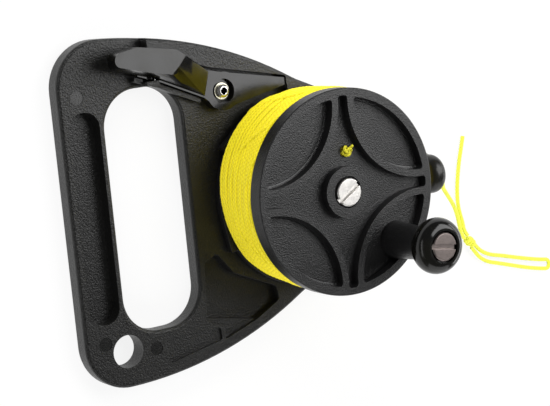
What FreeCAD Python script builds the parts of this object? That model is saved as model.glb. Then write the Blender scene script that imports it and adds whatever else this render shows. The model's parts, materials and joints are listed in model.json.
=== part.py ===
import FreeCAD, Part
import math
import operator
import os
import Sketcher
from FreeCAD import Placement, Rotation, Vector

# A hand-held line reel that lies on its back, +Z up, millimetres and degrees.
# The handle is at -X, the line guide at +X, and the spool turns about a +Z axis.
# Places are given from the spool's axis; the bodies shift them to the middle of the footprint.

SIZES = [
    ("plate_thick", 7.4, "frame plate, back to front"),
    ("plate_round", 1.3, "rounding of the plate's edges"),
    ("handle_reach", 94.7, "spool axis to the outside of the handle"),
    ("handle_top", 64.0, "spool axis to the frame's upper extreme"),
    ("handle_bottom", 61.0, "spool axis to the frame's lower extreme"),
    ("corner_round", 17.0, "outer corners of the handle"),
    ("side_round_top", 157.0, "long curved upper side of the frame"),
    ("side_round_bottom", 146.0, "long curved lower side of the frame"),
    ("shoulder_place", 3.0, "where the curved sides end, before the axis"),
    ("shoulder_bottom", 41.0, "spool axis to the lower shoulder"),
    ("nose_place", 46.0, "centre of the round nose"),
    ("nose_round", 12.5, "radius of the round nose"),
    ("opening_left", 77.7, "spool axis to the handle side of the hand opening"),
    ("opening_right", 46.6, "spool axis to the near side of the hand opening"),
    ("opening_top", 45.1, "upper end of the hand opening"),
    ("opening_bottom", 42.5, "lower end of the hand opening"),
    ("opening_round", 13.5, "corners of the hand opening"),
    ("slot_wall_in", 2.05, "handle hollow to the hand opening"),
    ("slot_wall_out", 3.05, "handle hollow to the outside of the handle"),
    ("slot_top", 39.3, "upper end of the handle hollow"),
    ("slot_bottom", 36.5, "lower end of the handle hollow"),
    ("slot_deep", 5.0, "depth of the handle hollow"),
    ("lanyard_x", 78.2, "spool axis to the lanyard hole, along the reel"),
    ("lanyard_y", 47.7, "spool axis to the lanyard hole, across the reel"),
    ("lanyard_bore", 12.0, "diameter of the lanyard hole"),
    ("web_deep", 3.7, "depth of the hollow below the spool"),
    ("ramp_deep", 1.6, "depth of the hollow's outer step"),
    ("label_deep", 0.9, "depth of the bare label recess"),
    ("mark_deep", 0.2, "depth of the small round mould marks"),
    ("mark_round", 2.5, "radius of the small round mould marks"),
    ("rail_high", 5.0, "lever rail above the plate"),
    ("rail_wall", 0.4, "rail's least wall, at the upper shoulder"),
    ("rail_end", 0.5, "end of the rail beyond the spool's axis"),
    ("rail_round", 1.1, "rounding of the rail's outer edge"),
    ("rib_high", 3.0, "lever stop rib above the plate"),
    ("rib_thick", 1.6, "lever stop rib"),
    ("lug_high", 6.0, "spring lug above the plate"),
    ("lug_wide", 4.9, "spring lug along the reel"),
    ("bolt_shank", 6.0, "axle bolt diameter"),
    ("bolt_head", 10.4, "slotted heads of the axle bolt and the knob screw"),
    ("bolt_head_high", 3.3, "height of the slotted heads"),
    ("bolt_slot", 1.8, "width of the slots"),
    ("bolt_slot_deep", 1.5, "depth of the slots"),
    ("bolt_slot_turn", 32.0, "direction of the axle bolt's slot"),
    ("knob_slot_turn", -9.3, "direction of the knob screw's slot"),
    ("shank_short", 0.1, "screws end short of their nut or insert"),
    ("nut_flats", 10.0, "axle nut across its flats"),
    ("nut_high", 3.4, "axle nut height"),
    ("nut_sink", 0.6, "axle nut below the back of the plate"),
    ("sleeve_round", 4.5, "outer radius of the axle sleeve"),
    ("run_gap", 0.1, "running clearance, radial and at the ends of the spool"),
    ("screw_gap", 0.1, "clearance of shanks in plain holes"),
    ("press_gap", 0.05, "clearance of inserts, spigots and threads in their seats"),
    ("head_gap", 0.65, "clearance round the slotted heads"),
    ("rear_washer_round", 9.0, "radius of the washer behind the spool"),
    ("rear_washer_thick", 0.7, "washer behind the spool"),
    ("ratchet_thick", 2.8, "toothed rear flange"),
    ("tooth_deep", 2.6, "height of the teeth"),
    ("ratchet_tip", 38.8, "radius at the tips of the teeth"),
    ("ratchet_drop", 1.5, "angle taken by the steep side of a tooth"),
    ("ratchet_turn", 30.0, "angle of the first tooth's tip"),
    ("ratchet_knee", 23.0, "angle from a tooth's tip back to where its ramp steepens"),
    ("ratchet_knee_rise", 0.3, "rise of the gentle part of a tooth's ramp"),
    ("winding_wide", 23.0, "room for line between the flanges"),
    ("hub_round", 11.0, "radius of the spool's hub"),
    ("spigot_round", 8.0, "radius of the spigot that joins the spool's halves"),
    ("spigot_high", 2.4, "height of the spigot"),
    ("flange_round", 37.7, "radius of the front flange"),
    ("flange_thick", 6.4, "front flange at its rim"),
    ("flange_edge", 0.5, "rounding of the front flange's rim"),
    ("star_turn", -2.0, "turn of the star recess"),
    ("star_deep", 3.5, "depth of the recesses in the front flange"),
    ("star_rim", 2.7, "rim outside the star recess"),
    ("lens_rim", 3.3, "rim outside the four lens recesses"),
    ("recess_round", 1.2, "rounding of the recesses' corners in the front flange"),
    ("web_arc_place", 46.7, "centres of the curved ribs from the axis"),
    ("web_arc_round", 31.0, "radius of the curved ribs' inner sides"),
    ("web_rib", 2.6, "thickness of the curved ribs"),
    ("boss_round", 9.3, "centre boss of the front flange"),
    ("counterbore_floor", 3.6, "floor of the bolt's counterbore above the flange's inner face"),
    ("front_washer_thick", 0.5, "washer under the bolt's head"),
    ("anchor_x", 2.6, "line anchor hole along the reel"),
    ("anchor_y", 14.4, "line anchor hole across the reel"),
    ("anchor_bore", 2.2, "radius of the line anchor hole"),
    ("anchor_knot_round", 2.4, "radius of the knot in the anchor hole"),
    ("crank_reach", 30.6, "crank's distance from the spool's axis"),
    ("crank_turn", -44.6, "crank's direction in the rest pose"),
    ("post_foot", 7.25, "radius of the crank post at its foot"),
    ("post_head", 5.65, "radius of the crank post at its head"),
    ("post_high", 19.6, "height of the crank post above its recess"),
    ("knob_round", 10.25, "radius of the knob"),
    ("knob_thick", 9.6, "thickness of the knob"),
    ("knob_lip", 0.85, "width of the knob's flat face round its counterbore"),
    ("knob_gap", 0.2, "end clearance of the knob on its screw"),
    ("knob_sunk", 3.3, "depth of the knob's counterbore"),
    ("shoulder_round", 3.0, "radius of the knob screw's shoulder"),
    ("knob_thread", 2.0, "radius of the knob screw's thread"),
    ("knob_thread_long", 10.0, "length of the knob screw's thread"),
    ("knob_insert_round", 3.4, "radius of the threaded insert in the post"),
    ("knob_insert_long", 8.4, "length of the threaded insert in the post"),
    ("line_thick", 1.6, "diameter of the line"),
    ("line_pitch", 2.12, "spacing of the turns on the spool"),
    ("line_bend", 1.9, "bend where the outer layer starts at the front flange"),
    ("core_inset", 1.4, "wound line's core inside the roots of the teeth"),
    ("core_rise", 0.7, "outer layer's lowest turn above the toothed flange"),
    ("core_gap", 0.1, "clearance of the wound line in the spool"),
    ("lead_gap", 0.3, "clearance of the drawn-off line over the winding"),
    ("lead_lift", 2.2, "drawn-off line above the toothed flange at its start"),
    ("lever_x", 31.2, "lever pivot before the spool's axis"),
    ("lever_y", 40.1, "lever pivot above the spool's axis"),
    ("lever_gap", 0.4, "lever clear of the plate, the stop rib and the spring lug"),
    ("lever_thick", 4.6, "lever arm"),
    ("lever_boss", 7.0, "radius of the lever's boss"),
    ("lever_tip", 4.9, "end of the lever's arm before the spool's axis"),
    ("arm_rise", 2.4, "lever's arm at its end, across the reel"),
    ("tooth_gap", 0.6, "pressed lever clear of the teeth"),
    ("pad_lift", 0.4, "thumb pad above the rail"),
    ("pad_high", 6.2, "height of the thumb pad"),
    ("lever_counterbore", 4.5, "radius of the lever's counterbore"),
    ("lever_counterbore_deep", 2.0, "depth of the lever's counterbore"),
    ("bush_round", 2.6, "outer radius of the lever's bush"),
    ("bush_bore", 1.6, "bore radius of the lever's bush"),
    ("lever_washer_round", 3.05, "radius of the lever's washer"),
    ("lever_washer_thick", 0.6, "lever's washer"),
    ("lever_head", 2.4, "radius of the lever screw's head"),
    ("lever_head_high", 1.7, "height of the lever screw's head"),
    ("lever_shank", 1.5, "radius of the lever screw's shank"),
    ("lever_insert_round", 2.3, "radius of the threaded insert below the lever"),
    ("lever_insert_long", 5.1, "length of the threaded insert below the lever"),
    ("spring_before", 28.8, "lever spring before the lever's pivot"),
    ("spring_rise", 7.2, "foot of the lever spring above the lever's pivot"),
    ("spring_long", 6.2, "lever spring with the pad pressed"),
    ("spring_lift", 3.4, "lever spring's axis above the lever's underside"),
    ("spring_round", 1.7, "mean radius of the lever spring"),
    ("spring_wire", 0.5, "wire of the lever spring"),
    ("spring_turns", 3.0, "whole turns of the lever spring"),
    ("spring_bend", 0.6, "bend at the ends of the lever spring"),
    ("spring_gap", 0.3, "clearance round the lever spring"),
    ("guide_foot_long", 13.4, "line guide's foot along the reel"),
    ("guide_foot_wide", 18.0, "line guide's foot across the reel"),
    ("guide_eye", 7.5, "outer radius of the line guide's eye"),
    ("guide_eye_long", 7.8, "line guide's eye along the reel"),
    ("guide_neck_inset", 0.3, "line guide's neck inside the faces of its eye"),
    ("guide_high", 21.0, "line guide above the plate"),
    ("guide_ahead", 4.2, "line guide's foot beyond the centre of the nose"),
    ("guide_lean_x", 1.4, "line guide's eye beyond its foot"),
    ("guide_lean_y", -2.45, "line guide's eye across from its foot"),
    ("guide_round", 3.6, "rounding of the line guide's eye"),
    ("guide_bore", 1.9, "radius of the line guide's hole"),
    ("guide_throat", 1.6, "straight length of the line guide's hole"),
    ("guide_flare", 5.0, "radius of the flared mouths of the line guide's hole"),
    ("guide_screw_round", 2.0, "radius of the line guide's screw"),
    ("guide_screw_long", 9.0, "line guide's screw beyond the plate"),
    ("guide_screw_head", 3.8, "radius of the line guide screw's head"),
    ("guide_screw_sink", 0.8, "line guide screw's head below the back of the plate"),
    ("guide_screw_head_high", 2.4, "height of the line guide screw's head"),
    ("small_slot", 0.8, "width of the slots in the small screws"),
    ("small_slot_deep", 1.0, "depth of the slots in the small screws"),
    ("head_bevel", 0.4, "bevel of the slotted heads"),
    ("knot_long", 5.0, "length of the free knot"),
    ("knot_round", 2.1, "radius of the free knot at its middle"),
    ("knot_end", 1.85, "radius of the free knot at its ends"),
    ("strand_half", 0.95, "half the spacing of two strands at the knot"),
]

doc = FreeCAD.newDocument("dive_reel")
sheet = doc.addObject("Spreadsheet::Sheet", "sizes")
for row, (alias, amount, meaning) in enumerate(SIZES, 1):
    sheet.set(f"A{row}", meaning)
    sheet.set(f"B{row}", str(amount))
    sheet.setAlias(f"B{row}", alias)
doc.recompute()

SIGNS = {"+": operator.add, "-": operator.sub, "*": operator.mul, "/": operator.truediv}


class Size:
    """A number with the expression over the sheet's cells that gives it."""

    def __init__(self, number, text):
        self.number = number
        self.text = text

    def __float__(self):
        return self.number

    def __add__(self, other):
        return joined(self, "+", other)

    def __radd__(self, other):
        return joined(other, "+", self)

    def __sub__(self, other):
        return joined(self, "-", other)

    def __rsub__(self, other):
        return joined(other, "-", self)

    def __mul__(self, other):
        return joined(self, "*", other)

    def __rmul__(self, other):
        return joined(other, "*", self)

    def __truediv__(self, other):
        return joined(self, "/", other)

    def __neg__(self):
        return joined(0, "-", self)


def as_size(value):
    return value if isinstance(value, Size) else Size(float(value), repr(float(value)))


def joined(first, sign, second):
    one, two = as_size(first), as_size(second)
    return Size(SIGNS[sign](one.number, two.number), f"({one.text} {sign} {two.text})")


class Sheet:
    """The sheet's cells, each as a Size under its alias."""

    def __getattr__(self, alias):
        return Size(float(sheet.get(alias)), "sizes." + alias)


at = Sheet()


def bind(thing, name, value):
    thing.setExpression(name, as_size(value).text)


# Heights above the back of the plate, from the plate up through the spool.
plate_top = at.plate_thick
rail_top = plate_top + at.rail_high
ratchet_low = plate_top + at.rear_washer_thick + at.run_gap
ratchet_top = ratchet_low + at.ratchet_thick
flange_low = ratchet_top + at.winding_wide
flange_top = flange_low + at.flange_thick
recess_floor = flange_top - at.star_deep
bolt_floor = flange_low + at.counterbore_floor
sleeve_top = bolt_floor + at.run_gap
bolt_head_low = sleeve_top + at.front_washer_thick
post_top = recess_floor + at.post_high
knob_low = post_top + at.knob_gap
knob_floor = knob_low + at.knob_thick - at.knob_sunk
knob_head_low = knob_floor + at.knob_gap
lever_low = plate_top + at.lever_gap
lever_top = lever_low + at.lever_thick
bush_top = lever_top - at.lever_counterbore_deep + at.run_gap
pad_low = rail_top + at.pad_lift
guide_top = plate_top + at.guide_high
guide_hole = guide_top - at.guide_eye
nut_top = at.nut_sink + at.nut_high
guide_screw_top = at.guide_screw_sink + at.guide_screw_head_high
spring_axis = lever_low + at.spring_lift

# Sizes that follow from what they clear or hold.
tooth_clear = at.ratchet_tip + at.tooth_gap
ratchet_root = at.ratchet_tip - at.tooth_deep
arm_top = tooth_clear + at.arm_rise
shoulder_top = arm_top + at.lever_gap + at.rail_wall
core_round = ratchet_root - at.core_inset
star_reach = at.flange_round - at.star_rim
lens_reach = at.flange_round - at.lens_rim
head_mouth = at.bolt_head / 2 + at.head_gap
lever_place = (-at.lever_x, at.lever_y)
spring_place = (-at.lever_x - at.spring_before, at.lever_y + at.spring_rise)
guide_place = at.nose_place + at.guide_ahead

# The middle of the footprint, which the origin lies under.
origin_x = (at.handle_reach - at.nose_place - at.nose_round) / 2
origin_y = (at.handle_bottom - at.handle_top) / 2

crank_angle = math.radians(at.crank_turn)
crank_x = float(at.crank_reach) * math.cos(crank_angle)
crank_y = float(at.crank_reach) * math.sin(crank_angle)

nodes = []


# Plane geometry, from which the sketches' outlines are made.

def point(x, y, z=0):
    return Vector(float(x), float(y), float(z))


def turned_by(arrow, degrees):
    return Rotation(Vector(0, 0, 1), degrees).multVec(arrow)


def polar(radius, degrees):
    return turned_by(point(radius, 0), float(degrees))


def unit(arrow):
    return Vector(arrow).normalize()


def arc_about(centre, start, end):
    """The shorter arc about a centre from one point to another."""
    middle = unit((start - centre) + (end - centre)) * (start - centre).Length
    return Part.Arc(start, centre + middle, end)


def rounded(corners, radius):
    """The lines and arcs of a polygon with its corners rounded off."""
    ends = []
    count = len(corners)
    for index, corner in enumerate(corners):
        back = unit(corners[index - 1] - corner)
        ahead = unit(corners[(index + 1) % count] - corner)
        half = back.getAngle(ahead) / 2
        inset = radius / math.tan(half)
        centre = corner + unit(back + ahead) * (radius / math.sin(half))
        ends.append((corner + back * inset, centre, corner + ahead * inset))
    edges = []
    for index, (start, centre, end) in enumerate(ends):
        edges.append(arc_about(centre, start, end))
        edges.append(Part.LineSegment(end, ends[(index + 1) % count][0]))
    return edges


def circles_cross(one, one_radius, two, two_radius, side):
    """Where two circles cross, left (+1) or right (-1) of the way from one to two."""
    apart = two - one
    along = (apart.Length ** 2 + one_radius ** 2 - two_radius ** 2) / (2 * apart.Length)
    off = math.sqrt(one_radius ** 2 - along ** 2)
    return one + unit(apart) * along + turned_by(unit(apart), 90) * (off * side)


def circle(x, y, radius):
    return Part.Circle(point(x, y), Vector(0, 0, 1), float(radius))


# Pieces are bodies whose features stand on their own origin planes.

def new_body(name, x=0, y=0):
    body = doc.addObject("PartDesign::Body", name)
    bind(body, "Placement.Base.x", origin_x + x)
    bind(body, "Placement.Base.y", origin_y + y)
    nodes.append(body)
    return body


def origin_plane(body, role):
    return next(item for item in body.Origin.OriginFeatures if item.Role == role)


def new_sketch(body, role="XY_Plane", height=0, geometry=()):
    sketch = body.newObject("Sketcher::SketchObject", body.Name + "_sketch")
    sketch.AttachmentSupport = (origin_plane(body, role), "")
    sketch.MapMode = "FlatFace"
    bind(sketch, "AttachmentOffset.Base.z", height)
    for item in geometry:
        sketch.addGeometry(item, False)
    return sketch


def pad(body, geometry, low, high):
    feature = body.newObject("PartDesign::Pad", body.Name + "_pad")
    feature.Profile = new_sketch(body, "XY_Plane", low, geometry)
    bind(feature, "Length", as_size(high) - low)
    body.Tip = feature
    return feature


def pocket(body, geometry, high, deep):
    """Cuts from a height downward."""
    feature = body.newObject("PartDesign::Pocket", body.Name + "_pocket")
    feature.Profile = new_sketch(body, "XY_Plane", high, geometry)
    bind(feature, "Length", deep)
    body.Tip = feature
    return feature


def four_times(body, feature):
    """Repeats a cut at quarter turns about the body's Z axis."""
    pattern = body.newObject("PartDesign::PolarPattern", body.Name + "_pattern")
    pattern.Originals = [feature]
    pattern.Axis = (origin_plane(body, "Z_Axis"), [""])
    pattern.Angle = 360
    pattern.Occurrences = 4
    body.Tip = pattern


def primitive(body, kind, x, y, low, role="XY_Plane", turn=0, **sizes):
    """One cone, cylinder, box or sphere that stands on an origin plane."""
    feature = body.newObject("PartDesign::" + kind, body.Name + "_" + kind)
    feature.AttachmentSupport = (origin_plane(body, role), "")
    feature.MapMode = "FlatFace"
    feature.AttachmentOffset = Placement(Vector(), Rotation(Vector(0, 0, 1), float(turn)))
    for axis, value in zip("xyz", (x, y, low)):
        bind(feature, "AttachmentOffset.Base." + axis, value)
    for name, value in sizes.items():
        bind(feature, name, value)
    body.Tip = feature
    return feature


def hole(body, x, y, low, high, radius):
    primitive(body, "SubtractiveCylinder", x, y, low, Radius=radius, Height=as_size(high) - low)


def round_edges(body, radius, chosen):
    """Rounds the edges for which the test given as chosen is true."""
    doc.recompute()
    base = body.Tip
    names = [f"Edge{n}" for n, edge in enumerate(base.Shape.Edges, 1) if chosen(edge.BoundBox)]
    feature = body.newObject("PartDesign::Fillet", body.Name + "_round")
    feature.Base = (base, names)
    bind(feature, "Radius", radius)
    body.Tip = feature


def turned(body, outline):
    """Adds a solid turned about the body's Z axis from (radius, height) corners."""
    count = len(outline)
    corners = [point(radius, height) for radius, height in outline]
    lines = [Part.LineSegment(corners[n], corners[(n + 1) % count]) for n in range(count)]
    sketch = new_sketch(body, "XZ_Plane", 0, lines)
    for n, corner in enumerate(outline):
        sketch.addConstraint(Sketcher.Constraint("Coincident", n, 2, (n + 1) % count, 1))
        for kind, value in zip(("DistanceX", "DistanceY"), corner):
            place = sketch.addConstraint(Sketcher.Constraint(kind, -1, 1, n, 1, float(value)))
            bind(sketch, f"Constraints[{place}]", value)
    feature = body.newObject("PartDesign::Revolution", body.Name + "_turned")
    feature.Profile = sketch
    feature.ReferenceAxis = (sketch, ["V_Axis"])
    body.Tip = feature


def ring(name, bore, radius, low, high, x=0, y=0):
    """A plain washer, bush, sleeve or threaded insert."""
    body = new_body(name, x, y)
    turned(body, [(bore, low), (radius, low), (radius, high), (bore, high)])
    return body


def cross_slot(body, low, high, length, width, turn):
    """Cuts a straight slot across the middle of a screw's head."""
    start = polar(length / 2, 180 + float(turn)) + polar(width / 2, float(turn) - 90)
    primitive(
        body, "SubtractiveBox", start.x, start.y, low, turn=turn,
        Length=length, Width=width, Height=as_size(high) - low,
    )


def slotted_screw(name, outline, head_top, turn, x=0, y=0):
    """A turned screw with a slot right across its head."""
    body = new_body(name, x, y)
    turned(body, outline)
    cross_slot(body, head_top - at.bolt_slot_deep, head_top + 1, at.bolt_head + 2, at.bolt_slot, turn)


def shape_node(name, shape, laid=Placement()):
    """A piece whose shape is made whole from the sheet's sizes, and may be laid on its side."""
    feature = doc.addObject("Part::Feature", name)
    feature.Shape = shape
    feature.Placement = Placement(point(origin_x, origin_y), Rotation()).multiply(laid)
    nodes.append(feature)


# Tubes, for the line and the lever spring.

def tube(path, radius):
    """A round tube along tangent edges that start straight."""
    wire = Part.Wire(path)
    start = path[0].valueAt(path[0].FirstParameter)
    section = Part.Wire(Part.makeCircle(radius, start, path[0].tangentAt(path[0].FirstParameter)))
    sweep = Part.BRepOffsetAPI.MakePipeShell(wire)
    sweep.add(section)
    sweep.build()
    sweep.makeSolid()
    solid = sweep.shape()
    share = solid.Volume / (math.pi * radius ** 2 * wire.Length)
    print(f"  tube {wire.Length:.1f} long, volume {share:.3f} of section times length")
    return solid


def bent_route(corners):
    """Straight runs joined by the largest arcs that they allow, and the arcs' radii."""
    edges, radii = [], []
    here = corners[0]
    for before, corner, after in zip(corners, corners[1:], corners[2:]):
        back, ahead = before - corner, after - corner
        half_turn = (math.pi - back.getAngle(ahead)) / 2
        inset = 0.45 * min(back.Length, ahead.Length)
        radius = inset / math.tan(half_turn)
        start, end = corner + unit(back) * inset, corner + unit(ahead) * inset
        centre = corner + unit(unit(back) + unit(ahead)) * (radius / math.cos(half_turn))
        edges.append(Part.LineSegment(here, start).toShape())
        edges.append(arc_about(centre, start, end).toShape())
        radii.append(round(radius, 1))
        here = end
    edges.append(Part.LineSegment(here, corners[-1]).toShape())
    return edges, radii


def biarc(start, start_way, end, end_way):
    """Two arcs in space that join two points, tangent to a direction at each."""
    apart = end - start
    both = start_way + end_way
    bend = 2 * (1 - start_way.dot(end_way))
    reach = (math.sqrt(apart.dot(both) ** 2 + bend * apart.dot(apart)) - apart.dot(both)) / bend
    middle = (start + end + (start_way - end_way) * reach) / 2
    edges = []
    for first, peak, last in (
        (start, start + start_way * reach, middle),
        (middle, end - end_way * reach, end),
    ):
        half = (last - first) / 2
        cosine = half.Length / reach
        top = first + half + (peak - first - half) * (cosine / (1 + cosine))
        edges.append(Part.Arc(first, top, last).toShape())
    return edges


def helix_stations(radius, pitch, turns, start_turn, start_height):
    """Points and directions at quarter turns of a helix about Z."""
    rise = pitch / (2 * math.pi * radius)
    stations = []
    for quarter in range(int(turns * 4) + 1):
        degrees = start_turn + 90 * quarter
        place = polar(radius, degrees) + point(0, 0, start_height + pitch * quarter / 4)
        stations.append((place, unit(polar(1, degrees + 90) + point(0, 0, rise))))
    return stations


def joined_by_biarcs(stations):
    edges = []
    for (start, start_way), (end, end_way) in zip(stations, stations[1:]):
        edges += biarc(start, start_way, end, end_way)
    return edges


def least_gap(edges, thickness):
    """The least clear distance between turns of a tube, on points along its middle."""
    step = thickness / 2
    places = []
    for edge in edges:
        count = max(2, int(edge.Length / step))
        places += edge.discretize(count)[:-1]
    skip = 8
    nearest = min(
        (places[n] - places[m]).Length
        for n in range(0, len(places), 2)
        for m in range(n + skip, min(n + 2 * skip + 400, len(places)), 2)
    )
    return nearest - thickness


def line_piece(name, corners):
    edges, radii = bent_route(corners)
    print(name, "bend radii", radii)
    shape_node(name, tube(edges, float(at.line_thick) / 2))


# The frame: a flat plate with a hand opening, a lever rail and a line guide's nose.

def side_of_frame(sign):
    """A side's corner centre and shoulder, and the centre and radius of the long curve between them."""
    reach, breadth, curve = at.handle_bottom, at.shoulder_bottom, at.side_round_bottom
    if sign > 0:
        reach, breadth, curve = at.handle_top, shoulder_top, at.side_round_top
    corner = point(at.corner_round - at.handle_reach, sign * (reach - at.corner_round))
    shoulder = point(-at.shoulder_place, sign * breadth)
    inner = float(curve - at.corner_round)
    return corner, shoulder, circles_cross(corner, inner, shoulder, float(curve), -sign), float(curve)


def nose_touch(sign, shoulder):
    """Where the straight edge from a shoulder touches the nose."""
    nose = point(at.nose_place, 0)
    apart = shoulder - nose
    lean = math.degrees(math.acos(float(at.nose_round) / apart.Length))
    return nose + turned_by(unit(apart), -sign * lean) * float(at.nose_round)


def frame_outline():
    edges = []
    touches = {}
    for sign in (1, -1):
        corner, shoulder, centre, curve = side_of_frame(sign)
        outer = point(-at.handle_reach, corner.y)
        join = corner + unit(corner - centre) * float(at.corner_round)
        touches[sign] = (outer, nose_touch(sign, shoulder))
        edges.append(arc_about(corner, outer, join))
        edges.append(arc_about(centre, join, shoulder))
        edges.append(Part.LineSegment(shoulder, touches[sign][1]))
    edges.append(arc_about(point(at.nose_place, 0), touches[1][1], touches[-1][1]))
    edges.append(Part.LineSegment(touches[1][0], touches[-1][0]))
    return edges


def opening_outline():
    corners = [
        point(-at.opening_left, -at.opening_bottom),
        point(-at.opening_right, -at.opening_bottom),
        point(-at.opening_right, at.opening_top),
        point(-at.opening_left, at.opening_top),
    ]
    return rounded(corners, float(at.opening_round))


def slot_outline():
    left, right = at.slot_wall_out - at.handle_reach, -at.opening_left - at.slot_wall_in
    half = float(right - left) / 2
    corners = [
        point(left, -at.slot_bottom),
        point(right, -at.slot_bottom),
        point(right, at.slot_top),
        point(left, at.slot_top),
    ]
    return rounded(corners, 0.95 * half)


# The lever turns about its pivot, from which its outline and the rail's inner side are given.

def by_pivot(x, y):
    return point(lever_place[0] + x, lever_place[1] + y)


LEVER_BASE_EDGE = [by_pivot(-34.3, 9.5), by_pivot(-24.9, 6.2), by_pivot(-8.2, -1.4)]
LEVER_BACK_EDGE = [by_pivot(-5.2, 7.9), by_pivot(-13.8, 10.4), by_pivot(-28.8, 13.8), by_pivot(-34.0, 14.9)]
LEVER_HEEL = [by_pivot(4.7, -5.5), by_pivot(-2.2, -6.5)]
RAIL_SIDE = [by_pivot(-4.8, 9.2), by_pivot(-13.8, 12.4), by_pivot(-29.3, 17.4)]


def lever_outline():
    clear = float(tooth_clear)
    tip_low = point(-at.lever_tip, math.sqrt(clear ** 2 - float(at.lever_tip) ** 2))
    tip_high = point(-at.lever_tip, arm_top)
    under = polar(tooth_clear + at.lever_gap, 112)
    corners = LEVER_HEEL + LEVER_BASE_EDGE[::-1] + LEVER_BACK_EDGE[::-1] + [tip_high, tip_low]
    lines = [Part.LineSegment(one, two) for one, two in zip(corners, corners[1:])]
    return lines + [Part.Arc(tip_low, under, LEVER_HEEL[0])]


def rail_outline():
    """Between the frame's upper side and the lever, flush with the plate's edge."""
    corner, shoulder, centre, curve = side_of_frame(1)
    touch = nose_touch(1, shoulder)
    end = float(at.rail_end)
    share = (end - shoulder.x) / (touch.x - shoulder.x)
    outer_end = shoulder + (touch - shoulder) * share
    start = RAIL_SIDE[-1].x
    outer_start = point(start, centre.y + math.sqrt(curve ** 2 - (start - centre.x) ** 2))
    clear = float(tooth_clear)
    nook = -float(at.lever_tip) + 2 * float(at.lever_gap)
    nook_top = arm_top + at.lever_gap
    inner = [
        point(end, math.sqrt(clear ** 2 - end ** 2)), point(nook, clear), point(nook, nook_top),
        point(nook - 1, nook_top + 0.6),
    ]
    corners = [shoulder, outer_end] + inner + RAIL_SIDE + [outer_start]
    lines = [Part.LineSegment(one, two) for one, two in zip(corners, corners[1:])]
    return lines + [arc_about(centre, outer_start, shoulder)]


def beside(places, distance):
    """A line of points moved to its left by a distance."""
    ways = [unit(two - one) for one, two in zip(places, places[1:])]
    moved = []
    for n, place in enumerate(places):
        before, after = ways[max(n - 1, 0)], ways[min(n, len(ways) - 1)]
        across = turned_by(unit(before + after), 90)
        moved.append(place + across * (distance / across.dot(turned_by(after, 90))))
    return moved


def closed(corners):
    return [Part.LineSegment(one, two) for one, two in zip(corners, corners[1:] + corners[:1])]


def rectangle(left, right, low, high):
    return closed([point(left, low), point(right, low), point(right, high), point(left, high)])


def lug_outline(gap, behind, ahead):
    """The spring lug's width with a gap round it, from behind its face to ahead of it."""
    half = at.lug_wide / 2 + gap
    x, y = spring_place
    return rectangle(x - half, x + half, y - behind, y + ahead)


def make_frame():
    body = new_body("frame")
    pad(body, frame_outline(), 0, plate_top)
    pocket(body, opening_outline(), plate_top, plate_top)
    round_edges(body, at.plate_round, lambda box: box.ZLength < 0.01)
    overlap = at.plate_round + 1
    pad(body, rail_outline(), plate_top - overlap, rail_top)
    top, bow = float(rail_top) - 0.01, float(shoulder_top) + 0.01
    round_edges(body, at.rail_round, lambda box: box.ZMin > top and box.YMin < bow and box.XLength > 50)
    inner = beside(LEVER_BASE_EDGE, -float(at.lever_gap))
    outer = beside(LEVER_BASE_EDGE, -float(at.lever_gap + at.rib_thick))
    pad(body, closed(inner + outer[::-1]), plate_top - 1, plate_top + at.rib_high)
    pad(body, lug_outline(0, at.rib_thick, 0), plate_top - 1, plate_top + at.lug_high)
    pocket(body, lug_outline(0, 0, at.rib_thick * 2), plate_top + at.rib_high, at.rib_high)
    pocket(body, slot_outline(), plate_top, at.slot_deep)
    hollow = [
        point(-43.6, -21.4), point(-38.0, -19.2), point(-31.6, -27.6), point(-14.0, -35.6),
        point(-13.0, -41.0), point(-23.6, -46.6), point(-45.0, -42.2),
    ]
    pocket(body, rounded(hollow, 2.0), plate_top, at.web_deep)
    step = [
        point(-44.4, -41.2), point(-20.6, -43.0), point(-23.6, -46.6), point(-37.6, -51.4),
        point(-37.8, -46.4), point(-45.2, -43.2),
    ]
    pocket(body, rounded(step, 0.5), plate_top, at.ramp_deep)
    label = [point(-61.2, -46.2), point(-62.0, -55.6), point(-39.2, -51.2), point(-39.6, -46.7)]
    pocket(body, rounded(label, 1.0), plate_top, at.label_deep)
    marks = [circle(x, y, at.mark_round) for x, y in ((-87.4, 44.6), (-86.8, -43.4), (-66.8, -48.9))]
    pocket(body, marks, plate_top, at.mark_deep)
    hole(body, -at.lanyard_x, -at.lanyard_y, -1, plate_top + 1, at.lanyard_bore / 2)
    hole(body, 0, 0, -1, plate_top + 1, at.bolt_shank / 2 + at.screw_gap)
    flats = at.nut_flats / 2 + at.screw_gap
    corner = flats / math.cos(math.pi / 6)
    primitive(body, "SubtractivePrism", 0, 0, 0, Polygon=6, Circumradius=corner, Height=nut_top)
    hole(
        body, *lever_place, plate_top - at.lever_insert_long - at.run_gap, plate_top + 1,
        at.lever_insert_round + at.press_gap,
    )
    hole(body, guide_place, 0, -1, plate_top + 1, at.guide_screw_round + at.screw_gap)
    hole(body, guide_place, 0, -1, guide_screw_top, at.guide_screw_head + at.screw_gap * 2)


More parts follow.
